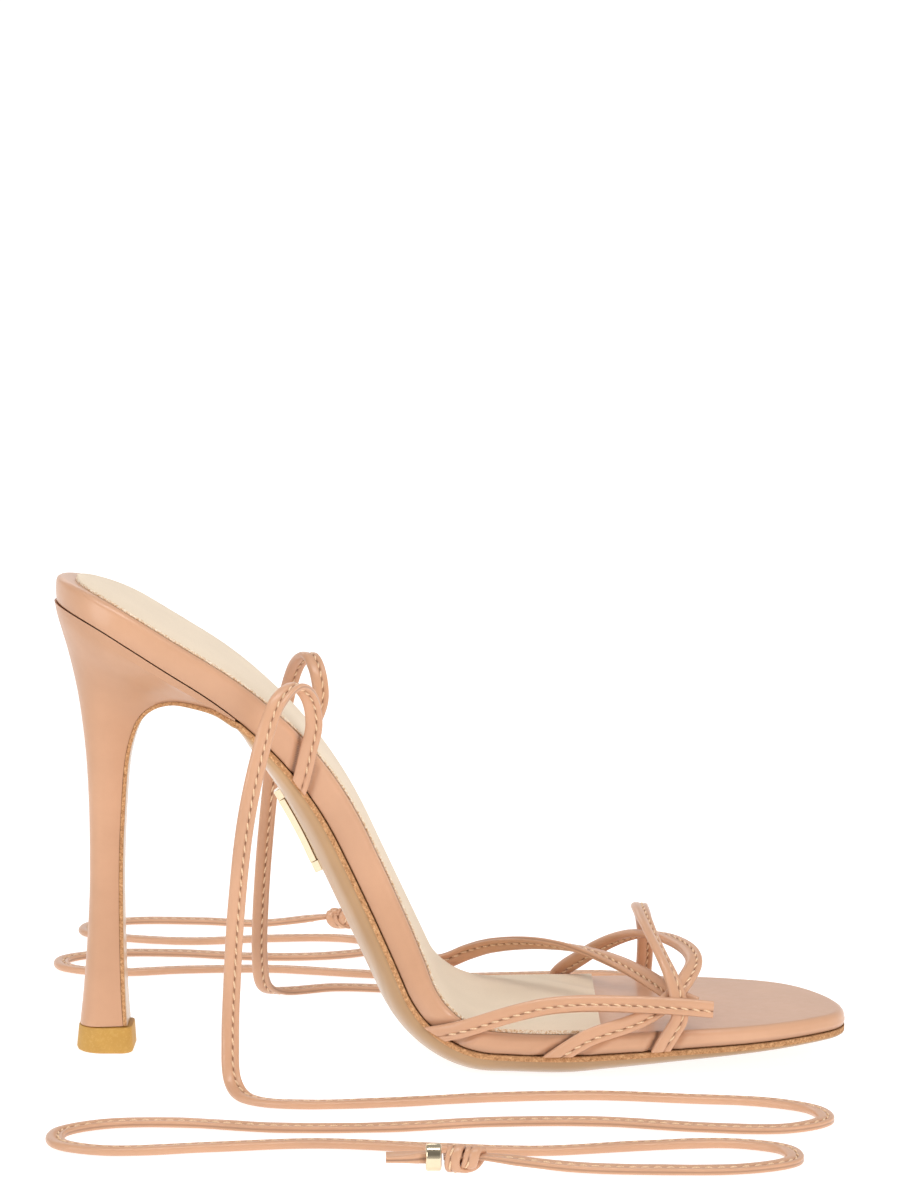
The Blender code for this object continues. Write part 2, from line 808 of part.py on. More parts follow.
def tie_route(row):
    """Points and faces of a tie, from the seam to its knot."""
    side = row["side"]
    route = []
    for along, rise in TIE_SEAM:
        point, out = wall_point(side, along, rise)
        route.append((point, -out))
    for x, away, z, turn in row["fall"]:
        angle = math.radians(turn)
        face = Vector((0.0, -side * math.sin(angle), math.cos(angle)))
        route.append((Vector((x, side * away, z)), face))
    for x, away in row["floor"]:
        route.append((Vector((x, side * away, TIE_REST)), Vector((0.0, 0.0, 1.0))))
    step_x, step_away = row["end_heading"]
    last = route[-1][0]
    tip = Vector((last.x + step_x, last.y + side * step_away, TIP_HEIGHT))
    route.append((tip, Vector((0.0, 0.0, 1.0))))
    return route


def turned(name, rows, start, heading, material):
    """A piece of oval sections along a heading."""
    side = heading.cross(Vector((0.0, 0.0, 1.0))).normalized()
    up = side.cross(heading)
    rings = []
    for distance, radius, low, wide in rows:
        ring = []
        for turn in range(0, 360, 30):
            angle = math.radians(turn)
            offset = side * (radius * wide * math.cos(angle)) + up * (radius * low * math.sin(angle))
            ring.append(start + heading * distance + offset)
        rings.append(ring)
    return loft(name, rings, material)


def build_bead(name, start, heading):
    """Ring bead: a barrel with a bore through it."""
    side = heading.cross(Vector((0.0, 0.0, 1.0))).normalized()
    up = side.cross(heading)
    outline = (
        # distance, radius
        (BEAD_ROUND / 2, BEAD_BORE),
        (0.0, BEAD_RADIUS - BEAD_ROUND),
        (BEAD_ROUND, BEAD_RADIUS),
        (BEAD_LENGTH - BEAD_ROUND, BEAD_RADIUS),
        (BEAD_LENGTH, BEAD_RADIUS - BEAD_ROUND),
        (BEAD_LENGTH - BEAD_ROUND / 2, BEAD_BORE),
    )
    rings = []
    for turn in range(0, 360, 24):
        angle = math.radians(turn)
        spoke = side * math.cos(angle) + up * math.sin(angle)
        rings.append([start + heading * distance + spoke * radius for distance, radius in outline])
    bm = bmesh.new()
    skin(bm, rings + rings[:1])
    bmesh.ops.remove_doubles(bm, verts=bm.verts, dist=1e-6)
    return add_piece(name, bm, "pale_gold")


def build_tie(label, row, cutter):
    """One ankle tie with its knot, its bead and its flared end."""
    name = "tie_" + label
    route = tie_route(row)
    tie = loft(name, strap_rings(route, TIE_STEP), "nude_leather")
    add_boolean(tie, cutter, "DIFFERENCE")
    tip, before = route[-1][0], route[-2][0]
    heading = Vector((tip.x - before.x, tip.y - before.y, 0.0)).normalized()
    knot_start = tip + heading * GAP
    knot_rows = []
    for share in KNOT_STATIONS:
        swell = math.sin(math.pi * (KNOT_BLUNT + (1.0 - 2 * KNOT_BLUNT) * share))
        knot_rows.append((KNOT_LENGTH * share, KNOT_RADIUS * swell, 1.0, KNOT_WIDTH))
    knot = turned(name + "_knot", knot_rows, knot_start, heading, "nude_leather")
    bead_start = knot_start + heading * (KNOT_LENGTH + GAP)
    bead = build_bead(name + "_bead", bead_start, heading)
    end = turned(name + "_end", END_ROWS, bead_start, heading, "nude_leather")
    return [tie, knot, bead, end]


def plate_rows():
    """Rows along the bar: distance from its end and height of its inner face over the feet."""
    rows = [(0.0, 0.0), (PLATE_FOOT, 0.0)]
    begin = PLATE_FOOT + PLATE_SHOULDER
    run = PLATE_LENGTH - 2 * begin
    for index in range(PLATE_STEPS + 1):
        rows.append((begin + run * index / PLATE_STEPS, PLATE_STAND_OFF))
    return rows + [(PLATE_LENGTH - PLATE_FOOT, 0.0), (PLATE_LENGTH, 0.0)]


def plate_point(far, across, rise):
    """Point under the outsole's lowest line, at a height over the bar's feet."""
    along = PLATE_ALONG - PLATE_LENGTH / 2 + far
    depth = GAP + RAW_EDGE + eased(LAYERS, 2, along) + GAP + rise
    return place(along, plan(PLATE_ALONG)[0] + across, -depth)


def build_arch_plate():
    """Bar on two feet, bent from one strip, along the outsole's underside."""
    rows = plate_rows()
    rings = []
    for across in (-PLATE_WIDTH / 2, PLATE_WIDTH / 2):
        outer = [plate_point(far, across, PLATE_STAND_OFF + PLATE_THICKNESS) for far, _ in rows]
        inner = [plate_point(far, across, rise) for far, rise in reversed(rows)]
        rings.append(outer + inner)
    plate = loft("arch_plate", rings, "pale_gold")
    bevel = plate.modifiers.new("soft edges", "BEVEL")
    bevel.width = PLATE_BEVEL * MM
    bevel.segments = 1
    return plate


def middle_of(pieces):
    """Middle of the box round the pieces' meshes, along X and Y."""
    points = [vertex.co for piece in pieces for vertex in piece.data.vertices]
    middle = []
    for axis in (0, 1):
        values = [point[axis] for point in points]
        middle.append((min(values) + max(values)) / 2)
    return Vector((middle[0], middle[1], 0.0))


def main():
    for obj in list(bpy.data.objects):
        bpy.data.objects.remove(obj)
    cutter = build_seam_cutter()
    shoe = [build_board(), build_sock(), build_outsole(), build_heel(), build_lift()]
    shoe.append(build_arch_plate())
    straps = build_toe_straps(cutter)
    centre = middle_of(shoe + straps)
    ties = []
    for label, row in TIE_ROUTES.items():
        ties += build_tie(label, row, cutter)
    stand = bpy.data.objects.new("sandal", None)
    bpy.context.scene.collection.objects.link(stand)
    stand.location = -centre
    for piece in shoe + straps + ties + [cutter]:
        piece.parent = stand


main()
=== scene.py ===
"""Lace-up stiletto sandal, dressed: leather, stitching, raw edges, metal and the studio.

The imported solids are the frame. The pieces here repeat their forms more finely, in millimetres of
the shoe: X runs from the back of the seat to the toe, Y from the inner (medial) side of the foot to
the outer (lateral) side, and Z up from the floor. "Along", "across" and "rise" are the directions
of the board's underside.
"""

import bisect
import math

import bmesh
import bpy
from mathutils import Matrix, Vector, noise


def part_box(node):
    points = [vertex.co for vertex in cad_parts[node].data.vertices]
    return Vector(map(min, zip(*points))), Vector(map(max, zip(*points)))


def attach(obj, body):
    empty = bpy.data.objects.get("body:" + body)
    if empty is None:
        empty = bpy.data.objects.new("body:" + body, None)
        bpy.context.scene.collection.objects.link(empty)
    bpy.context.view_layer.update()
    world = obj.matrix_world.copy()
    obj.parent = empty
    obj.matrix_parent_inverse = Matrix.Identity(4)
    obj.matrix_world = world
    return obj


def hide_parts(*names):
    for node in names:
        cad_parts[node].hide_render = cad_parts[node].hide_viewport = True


bl_info = {
    "name": "Lace-up sandal",
    "version": (1, 0, 0),
    "blender": (4, 5, 0),
    "location": "3D View > Sidebar > Sandal",
    "description": "Dresses a lace-up stiletto sandal in leather and sets up its studio",
    "category": "Add Mesh",
}

MM = 0.001
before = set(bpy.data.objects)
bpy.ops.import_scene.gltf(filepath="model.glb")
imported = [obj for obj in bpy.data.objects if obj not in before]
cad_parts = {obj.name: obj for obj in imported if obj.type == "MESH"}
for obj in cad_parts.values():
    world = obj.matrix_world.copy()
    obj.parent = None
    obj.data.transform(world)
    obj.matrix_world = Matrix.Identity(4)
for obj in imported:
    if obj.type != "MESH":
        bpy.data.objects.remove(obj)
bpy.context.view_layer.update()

# The shoe's own zero, found from the top piece of the heel
LIFT_BACK = 4.3
lift_low, lift_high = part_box("heel_top_piece")
ORIGIN = Vector((lift_low.x - LIFT_BACK * MM, (lift_low.y + lift_high.y) / 2, 0.0))
MEDIAL, LATERAL = -1.0, 1.0

# Driving dimensions of the last
SHOE_LENGTH = 201.3
HEEL_HEIGHT = 116.6
TREAD_HEIGHT = 6.3
GAP = 0.3
SLIVER = 0.12
NUDGE = 0.1
SHARP_ANGLE = 42.0
CROWD_START = 0.7
CROWD_BOTH = 0.75
SEEDS = {"wall": 1, "sock": 3, "sock_fine": 4, "fray": 5, "raw_edge": 7, "stitch": 11}

# Side profile of the board's underside. A length of None is worked out from the heights above.
BACK_SLOPE = 17.0
PROFILE = (
    # stretch, length, downward slope at its front end
    ("cupped back", 20.0, 32.5),
    ("seat", 18.8, 32.5),
    ("shank", 58.0, 64.5),
    ("waist", None, 64.5),
    ("ball", 28.0, 0.0),
    ("tread", 14.0, 0.0),
    ("toe break", 12.0, -2.5),
    ("toe spring", None, -0.2),
)
SEAT_ROUND = 22.0
TOE_START = 192.0
TOE_FULLNESS = 2.4
TOE_HALF = 36.55
PLAN = (
    # along, middle line, half-width, lean
    (22.0, 0.0, 25.0, 0.0),
    (40.0, 0.1, 24.9, 0.0),
    (60.0, 0.5, 22.6, -0.02),
    (80.0, 1.0, 20.2, -0.045),
    (100.0, 1.4, 19.4, -0.055),
    (115.0, 1.8, 21.2, -0.055),
    (130.0, 2.0, 25.6, -0.045),
    (145.0, 1.8, 31.0, -0.025),
    (160.0, 1.3, 35.0, -0.008),
    (176.0, 1.05, 36.7, 0.0),
    (192.0, 1.05, TOE_HALF, 0.0),
    (210.0, 1.5, 35.2, 0.0),
    (229.0, 1.7, 35.6, 0.0),
    (241.0, 1.9, TOE_HALF, 0.0),
    (246.5, 0.8, TOE_HALF, 0.0),
    (250.0, -0.8, TOE_HALF, 0.0),
    (253.0, -2.6, TOE_HALF, 0.0),
)
RAW_EDGE = 1.3
RAW_EDGE_PROUD = 0.6
TREAD_PRESS = 0.1
TREAD_BULGE = TREAD_HEIGHT - GAP - RAW_EDGE + TREAD_PRESS
LAYERS = (
    # along, board, outsole bulge, flat share of the outsole's width
    (0.0, 6.4, 0.3, 0.7),
    (52.0, 7.2, 0.6, 0.5),
    (68.0, 7.5, 4.0, 0.15),
    (90.0, 7.5, 5.6, 0.12),
    (125.0, 7.0, 5.9, 0.2),
    (146.0, 6.0, 5.5, 0.45),
    (158.0, 5.2, 5.2, 0.58),
    (168.0, 4.8, TREAD_BULGE, 0.62),
    (182.0, 4.7, TREAD_BULGE, 0.62),
    (192.0, 4.6, 4.3, 0.58),
    (210.0, 4.3, 3.5, 0.55),
    (232.0, 3.9, 2.4, 0.45),
    (252.0, 3.6, 1.2, 0.4),
)
BOARD_TOP_ROUND = 2.0
BOARD_FOOT_ROUND = 0.4
BOARD_FOOT_DROP = 0.08
BOARD_STATIONS = 400
BOARD_TIP = 1.0
ROUND_TURN = 15
BACK_UPRIGHT = 16.0
BACK_PIVOT = 1.5
BACK_EASE = 1.5
WALL_ROWS = 12
WALL_BULGE = 0.14
WALL_WAVE = 0.05
WALL_WAVE_ALONG = 11.0
WALL_WAVE_UP = 9.0
FOOT_SHADE = (
    # along, painted shade on the wall's foot above the sole's edge
    (110.0, 0.06),
    (150.0, 0.16),
    (190.0, 0.24),
    (252.0, 0.24),
)
FOOT_SHADE_REACH = 0.55
RIM_ROWS = (
    # inset, painted shade beside and under the sock's edge
    (2.25, 0.05),
    (2.5, 0.7),
    (3.2, 0.7),
)
RIM_SHADE = (
    # along, share of that painted shade
    (22.0, 0.0),
    (30.0, 0.25),
    (150.0, 0.3),
    (166.0, 1.0),
    (190.6, 1.0),
)
TOP_RUNGS = 8

# Where a strap lies on the wall it presses a soft trough beside it, and a painted shadow line runs along
# it
TROUGH_DEPTH = 0.34
TROUGH_WIDTH = 0.8
TROUGH_LINE = 0.36
TROUGH_SHADE = 0.75
TROUGH_FAR_SIDE = 0.4
TROUGH_REACH = 20.0
RIDGE_HEIGHT = 0.2
RIDGE_AWAY = 2.1
RIDGE_WIDTH = 1.1
STRAP_END_STEP = 0.4
STRAP_END_REACH = 5.0

# Outsole, and its flap over the heel's arch and down the breast
OUTSOLE_STATIONS = 300
TIP_ROUND = 14.0
TIP_SHARP = 3.0
FLAP_STATIONS = 240
FLAP_START = 1.8
FLAP_EASE = 7.0
FLAP_THIN = 0.34
FLAP_GAP = 0.05
FLAP_EDGE = 0.95
FLAP_BULGE = 0.15
FLAP_FLAT = 0.8
ARCH_LEVELS = 3.0
ARCH_BULGE = 0.6
RAW_ROWS = 5
RAW_ROUGHNESS = 0.07
RAW_GRAIN_ALONG = 0.8
RAW_GRAIN_UP = 0.5
RAW_ROUND = 0.12
# Painted shade along the seam above the raw edge, and at the step to the underside
RAW_SEAM_PAINTED_SHADE = 0.3
STEP_PAINTED_SHADE = 0.25
SOLE_SHADE = (
    # along, painted shade on the underside, and on its raw edge
    (125.0, 0.0, 0.0),
    (150.0, 0.14, 0.0),
    (172.0, 0.4, 0.12),
    (252.0, 0.4, 0.16),
)
SOLE_STEP = 0.14
SOLE_STEP_MOST = 0.3
SOLE_TURNS = 14

# Heel and its top piece
BREAST_ALONG = 55.0
HEEL_ROWS = (
    # level, back x, back z, breast x, breast z, half-width, breast half-width
    (0.0, 0.0, 116.3, 47.2, 87.9, 25.0, 23.3),
    (1.0, 0.5, 113.4, 42.0, 90.3, 23.4, 19.6),
    (2.0, 1.6, 109.4, 35.8, 91.4, 20.2, 15.6),
    (3.0, 2.9, 104.7, 30.2, 91.5, 16.2, 11.6),
    (4.0, 4.2, 99.2, 25.2, 90.0, 12.4, 8.4),
    (5.0, 5.5, 92.6, 21.4, 86.8, 9.3, 6.1),
    (6.0, 6.6, 84.6, 19.0, 81.6, 7.2, 4.8),
    (7.0, 7.5, 75.0, 17.4, 74.4, 5.9, 4.1),
    (8.0, 8.0, 63.5, 16.5, 63.5, 5.1, 3.7),
    (9.0, 8.1, 52.0, 15.9, 52.0, 4.8, 3.6),
    (10.0, 7.9, 40.0, 15.7, 40.0, 4.9, 3.8),
    (11.0, 7.2, 28.0, 15.8, 28.0, 5.4, 4.4),
    (12.0, 6.2, 16.0, 16.1, 16.0, 6.1, 5.2),
    (13.0, 5.2, 7.0, 16.6, 7.0, 6.7, 5.9),
)
HEEL_SHADE = (
    # level, painted shade on the heel cover, deepest towards its top
    (0.0, 0.11),
    (4.5, 0.11),
    (8.0, 0.0),
    (13.0, 0.0),
)
HEEL_LEVELS = 130
HEEL_SIDE_POINTS = 40
HEEL_WIDEST_SHARE = 0.42
LIFT_ROWS = (
    # z, back x, front x, half-width
    (0.0, 5.1, 18.6, 6.6),
    (0.25, 4.6, 18.95, 7.0),
    (0.9, LIFT_BACK, 19.2, 7.3),
    (3.6, 4.6, 19.05, 7.1),
    (6.35, 4.88, 18.9, 6.92),
    (6.62, 4.98, 18.82, 6.84),
    (6.7, 5.2, 18.6, 6.64),
)
LIFT_CORNER = 2.6
LIFT_TURN = 6

# Sock lining
SOCK_THICKNESS = 0.7
SOCK_INSET = 2.6
SOCK_BACK = 3.3
SOCK_FRONT = 190.6
SOCK_STATIONS = 330
SOCK_SUNK = (
    # along, how far the sock's edge sinks below its thickness
    (0.0, 0.34),
    (140.0, 0.34),
    (166.0, 0.12),
    (190.6, 0.08),
)
SOCK_TOP_POINTS = 44
SOCK_WOBBLE = 0.16
SOCK_WOBBLE_SPAN = 1.7
SOCK_FINE = 0.6
SOCK_FINE_SPAN = 0.6
SOCK_FRAY = 0.12
SOCK_FRAY_SPAN = 0.9
SOCK_TIP = 0.0008
SOCK_PAD = 0.35
SOCK_PAD_EASE = 12.0
SOCK_RIM = 0.9
SOCK_EDGE = (
    # inward, up, share of the sinking, share of the fray, painted shade under the cut edge
    (0.0, -0.24, 0.0, 0.0, 0.6),
    (-0.1, 0.3, 0.8, 0.0, 0.0),
    (0.05, 0.6, 1.0, 1.0, 0.0),
    (0.4, 0.72, 1.0, 0.0, 0.0),
)
SOCK_FOLDS = (
    # along and across of its two ends, depth, width
    ((174.0, 33.0), (191.5, 16.0), 0.34, 1.7),
    ((178.0, 34.0), (192.0, 24.0), -0.25, 2.6),
)
# Painted shade in the sock's folds, by their depth
FOLD_SHADE = 0.5

# Straps and ties are folded leather. The stitched side is the thinner one, beyond the groove.
STRAP_COATS = ("calf_leather", "calf_cut_edge", "sewing_thread")
THREAD_COAT = STRAP_COATS.index("sewing_thread")
STRAP_SEEDS = {"toe": 20, "tie": 40, "knot": 60}
STRAP_PLUMP = 0.06
STRAP_PLUMP_SPAN = 9.0
STRAP_BROAD = 0.025
STRAP_BROAD_SPAN = 12.0
STRAP_STEPS = 5
STRAP_SECTION = (
    # share of the half-width, share of the half-thickness, share of the stitch groove and its painted
    # shade (at the cut edge, painted shade only)
    (-1.0, 0.0, 0.0),
    (-0.98, 0.3, 0.0),
    (-0.91, 0.58, 0.0),
    (-0.76, 0.85, 0.0),
    (-0.5, 1.0, 0.0),
    (-0.22, 0.98, 0.0),
    (0.02, 0.88, 0.0),
    (0.18, 0.74, 0.2),
    (0.3, 0.58, 1.0),
    (0.42, 0.7, 0.2),
    (0.57, 0.8, 0.0),
    (0.76, 0.81, 0.0),
    (0.91, 0.72, 0.0),
    (0.985, 0.52, 0.0),
    (1.0, 0.32, 0.1),
    (0.955, 0.06, 0.9),
)
GROOVE_SHARE = 0.3
FACE_HEIGHT = 0.5
GROOVE_HEIGHT = 0.58
HOLE_DEPTH = 0.22
# Painted shade in the needle holes, along the stitch groove and in the cut edge's notch
HOLE_SHADE = 0.6
GROOVE_SHADE = 0.13
EDGE_SHADE = 0.45
STITCH_ROWS = (
    # share of the stitch's half-length, share of its radius
    (-1.0, 0.3),
    (-0.82, 0.8),
    (-0.4, 1.0),
    (0.0, 1.06),
    (0.4, 1.0),
    (0.82, 0.8),
    (1.0, 0.3),
)
STITCH_SIDES = 6
STITCH_MARGINS = {
    # bare length at the seam, and at the other end
    "free": (4.2, 1.0),
    "sewn": (4.2, 4.2),
    "tie": (5.0, 3.5),
    "knot": (6.0, 12.0),
}
STITCH_SLANT = 0.2
STITCH_VARIATION = 0.12
STITCH_STRIDE = 1.7
STITCH_SINK = 0.22
STITCH_ARCH = 0.9
SEAM_REACH = 16.0
TOE_AXIS = (1.0, 13.0)
STRAP_LEAN = {
    # turn of the face at each point in the air: its direction, then how much of it
    "back_inner": ((0.0, 0.0, 1.0), (0.15, 0.35, 0.5, 0.45, 0.3, 0.25, 0.25)),
    "front": ((1.0, 0.0, 0.0), (0.15, 0.45, 0.8, 0.95, 0.8, 0.4, 0.1, 0.0, 0.0, 0.0, 0.0)),
}
TOE_STRAP_ROUTES = {
    "back_inner": {
        "start": ((MEDIAL, 147.0, -2.5), (MEDIAL, 150.5, 1.2), (MEDIAL, 155.0, 4.8)),
        "points": (
            # x, y, z
            (115.0, -35.0, 16.4), (123.9, -35.4, 18.6), (132.7, -35.5, 19.4), (141.6, -35.3, 19.3),
            (150.0, -35.0, 18.9), (157.1, -34.9, 18.5), (165.5, -34.2, 17.6),
        ),
        "end": (),
    },
    "middle": {
        "start": ((MEDIAL, 176.0, -2.5), (MEDIAL, 181.0, 1.2), (MEDIAL, 187.6, 4.8)),
        "points": (
            (146.0, -34.8, 14.6), (152.4, -32.4, 17.6), (156.6, -30.4, 21.2), (159.8, -26.2, 24.4),
            (161.6, -20.2, 26.6), (160.9, -13.2, 28.0), (158.2, -6.2, 28.8), (153.9, 1.8, 29.0),
            (149.3, 9.6, 28.0), (144.7, 17.2, 25.5), (139.8, 24.4, 21.8), (135.2, 31.4, 17.4),
        ),
        "end": ((LATERAL, 182.0, 5.2), (LATERAL, 180.0, 1.6), (LATERAL, 178.0, -2.5)),
    },
    "back_outer": {
        "start": ((LATERAL, 139.0, -2.5), (LATERAL, 143.0, 1.8), (LATERAL, 147.5, 5.8)),
        "points": (
            (105.0, 33.4, 18.2), (111.4, 27.4, 21.2), (120.5, 18.4, 23.7), (128.8, 9.8, 24.8),
            (136.3, 1.8, 24.7), (143.6, -7.4, 23.7), (150.2, -18.0, 22.1), (154.2, -25.2, 20.7),
            (157.2, -28.9, 19.5), (161.5, -30.4, 17.9),
        ),
        "end": (),
    },
    "front": {
        "start": ((MEDIAL, 203.4, -2.5), (MEDIAL, 205.4, 1.2), (MEDIAL, 207.8, 4.8)),
        "points": (
            (157.2, -34.1, 15.4), (156.8, -32.9, 20.2), (155.2, -29.6, 25.2), (153.2, -24.4, 29.2),
            (151.1, -16.4, 32.8), (149.6, -7.0, 35.4), (149.0, 2.6, 36.2), (149.6, 12.4, 34.4),
            (151.0, 21.6, 29.9), (151.9, 29.4, 23.6), (152.1, 35.0, 16.4),
        ),
        "end": ((LATERAL, 204.4, 4.6), (LATERAL, 204.6, 1.2), (LATERAL, 204.6, -2.5)),
    },
}

# Ankle ties: up out of the seam at the waist, over outward, down to the floor and along it
TIE_SEAM = ((79.5, -2.5), (76.4, 1.6), (72.6, 6.6))
TIE_CLEARANCE = 0.05
TIE_ROUTES = {
    "medial": {
        "side": MEDIAL,
        "fall": (
            # x, distance from the shoe's middle, z, turn of the upper face towards the shoe
            (66.4, 22.0, 87.0, 84.0), (65.4, 25.2, 94.2, 50.0), (62.2, 31.6, 98.0, 0.0),
            (58.0, 38.0, 94.8, -48.0), (54.8, 42.0, 86.0, -78.0), (50.6, 44.6, 67.0, -90.0),
            (48.2, 45.6, 46.0, -90.0), (47.0, 46.2, 27.0, -88.0), (46.6, 48.2, 13.4, -66.0),
            (47.4, 53.4, 4.2, -28.0),
        ),
        "floor": (
            # x, distance from the shoe's middle
            (51.4, 60.0), (64.0, 65.6), (86.0, 63.6), (110.0, 58.6), (135.0, 56.6), (158.0, 60.0),
            (176.0, 63.4), (187.0, 71.0), (188.4, 82.0), (178.0, 89.4), (159.0, 88.0),
            (136.0, 82.6), (110.0, 83.0), (85.0, 88.0), (60.0, 88.4), (37.0, 83.6), (20.0, 84.6),
            (9.6, 92.4), (10.6, 103.6), (23.0, 109.4), (46.0, 106.0), (70.0, 102.8), (95.0, 106.6),
            (120.0, 109.6), (145.0, 104.8), (164.0, 102.6), (176.6, 108.2), (177.6, 119.0),
            (166.0, 125.6), (147.0, 126.4), (128.0, 124.0),
        ),
        "end_heading": (-20.0, 0.4),
    },
    "lateral": {
        "side": LATERAL,
        "fall": (
            (66.4, 24.0, 87.0, 84.0), (65.6, 27.4, 94.0, 50.0), (63.0, 33.8, 97.6, 0.0),
            (59.6, 40.2, 94.4, -48.0), (56.8, 44.4, 85.6, -78.0), (53.0, 47.2, 67.0, -90.0),
            (50.6, 48.4, 46.0, -90.0), (49.2, 49.0, 27.0, -88.0), (48.8, 51.0, 13.4, -66.0),
            (49.8, 56.2, 4.2, -28.0),
        ),
        "floor": (
            (54.6, 63.0), (69.0, 67.6), (93.0, 64.0), (118.0, 59.6), (139.0, 61.4), (153.0, 68.0),
            (154.0, 79.0), (143.0, 85.4), (122.0, 83.4), (98.0, 81.6), (74.0, 86.4), (50.0, 92.6),
            (26.0, 91.6), (6.0, 88.0), (-8.0, 94.4), (-9.4, 106.0), (2.0, 114.0), (22.0, 114.4),
            (43.0, 109.6), (63.0, 110.0), (77.0, 117.4), (78.4, 129.0), (67.0, 136.6),
            (47.0, 136.0), (25.0, 132.0), (6.0, 136.2), (-6.6, 144.4), (-6.4, 156.0), (6.0, 162.6),
            (26.0, 162.0), (44.0, 158.8),
        ),
        "end_heading": (20.0, -2.0),
    },
}

# Knot, ring bead and flared end of each tie, in line with its last stretch
KNOT_LENGTH = 9.0
KNOT_RADIUS = 3.5
TIP_HEIGHT = GAP + KNOT_RADIUS
KNOT_STRAP = (3.5, 1.3)
KNOT_WRAPS = (
    # distance, turn in degrees, distance from the knot's axis
    (1.7, 20.0, 0.2),
    (1.7, 50.0, 1.1),
    (1.9, 95.0, 2.0),
    (2.5, 150.0, 2.25),
    (3.1, 210.0, 2.25),
    (3.8, 270.0, 2.25),
    (4.5, 330.0, 2.25),
    (5.2, 390.0, 2.25),
    (5.9, 450.0, 2.25),
    (6.6, 510.0, 2.25),
    (7.0, 560.0, 2.4),
    (6.6, 600.0, 2.75),
    (5.2, 630.0, 2.85),
    (3.6, 650.0, 2.85),
    (2.2, 672.0, 2.75),
    (1.1, 705.0, 2.3),
    (0.8, 760.0, 1.5),
    (2.0, 800.0, 0.8),
    (5.0, 810.0, 0.3),
    (8.9, 810.0, 0.1),
)
TIE_INTO_KNOT = 2.2
TIE_CUT = 2.0
TIE_PATH_STEPS = 400
TIE_TAPER = 0.36
BEAD_LENGTH = 3.6
BEAD_RADIUS = 3.1
BEAD_BORE = 1.9
BEAD_ROUND = 0.6
BEAD_FACE = 0.9
BEAD_TURNS = 64
END_ROWS = (
    # distance from the bead's start, half-height, half-width
    (0.0, 1.4, 1.4),
    (2.4, 1.4, 1.4),
    (4.2, 1.35, 1.45),
    (5.6, 1.25, 2.1),
    (7.2, 1.1, 2.5),
    (9.6, 0.95, 2.75),
    (12.5, 0.9, 2.8),
)
END_POINTS = 40
END_TURN = 12
# Painted shade along the seam where the end's two layers meet
END_SEAM_SHADE = 0.7
END_SEAM_WIDTH = 0.12
END_SQUARENESS = 3.2

# Metal bar under the waist, bent to follow the outsole and raised a little between its two feet.
# A narrower web fills the slit under it, and a fine joint shows where it meets the feet.
PLATE_ALONG = 90.2
PLATE_LENGTH = 25.0
PLATE_WIDTH = 5.0
PLATE_HEIGHT = 2.1
PLATE_FOOT = 2.9
PLATE_JOINT = 0.04
PLATE_FOOT_HEIGHT = 2.0
PLATE_FOOT_GAP = 0.05
PLATE_STAND_OFF = 0.38
PLATE_WEB_WIDTH = 3.2
PLATE_STEPS = 24
PLATE_BEVEL = 0.15
PLATE_BEVEL_STEPS = 4

# Camera, in the shoe's millimetres, at the photograph's angle
CAMERA_PLACE = (100.3, -948.2, 219.0)
CAMERA_TILT = 83.8
CAMERA_LENS = 112.575
CAMERA_SENSOR = 36.0
FLOOR_HALF = 12.0
FLOOR_GREYS = (0.4, 0.42)
FLOOR_CLOUDS = 400.0
FLOOR_GLOW = 0.86
SKY_HORIZON = 1.1
SKY_TOP = 0.42
SKY_FRONT = 0.5
SKY_UPWARD = (0.1, 0.5)
SKY_BACKWARD = (-0.6, 0.3)
LIGHTS = (
    # name, place in metres, width, height, power, aims at, shows in reflections
    ("softbox_left", (-1.05, -0.8, 0.65), 0.7, 0.8, 5.5, (0.0, 0.0, 0.05), True),
    ("softbox_right", (0.8, -1.05, 0.32), 0.8, 0.8, 9.2, (0.0, 0.0, 0.04), False),
    ("top", (0.0, -0.2, 1.3), 1.0, 0.3, 7.0, (0.0, 0.0, 0.03), True),
    ("behind", (-0.35, 1.15, 0.8), 0.8, 0.4, 1.5, (0.0, 0.0, 0.06), True),
)


def srgb(*channels):
    """Linear colour of three sRGB channels of 0 to 255."""

    def linear(value):
        value /= 255.0
        return value / 12.92 if value <= 0.04045 else ((value + 0.055) / 1.055) ** 2.4

    return [linear(value) for value in channels]


def eased(rows, column, key):
    """Reads a column of a table on a smooth curve through its rows. The first column rises."""
    keys = [row[0] for row in rows]
    if key <= keys[0]:
        return rows[0][column]
    if key >= keys[-1]:
        return rows[-1][column]
    low = bisect.bisect_right(keys, key) - 1
    high = low + 1

    def slope(index):
        before = rows[max(index - 1, 0)]
        after = rows[min(index + 1, len(rows) - 1)]
        return (after[column] - before[column]) / (after[0] - before[0])

    span = keys[high] - keys[low]
    start, end = rows[low][column], rows[high][column]
    share = (key - keys[low]) / span
    rest = 1.0 - share
    bend_low = (slope(low) * span - (end - start)) * rest
    bend_high = (slope(high) * span - (end - start)) * share
    return start * rest + end * share + share * rest * (bend_low - bend_high)


def arc_step(length, start, end):
    """How far an arc reaches along X and up Z while its downward slope goes from start to end."""
    if abs(end - start) < 1e-9:
        return length * math.cos(start), -length * math.sin(start)
    radius = length / (end - start)
    return radius * (math.sin(end) - math.sin(start)), radius * (math.cos(end) - math.cos(start))


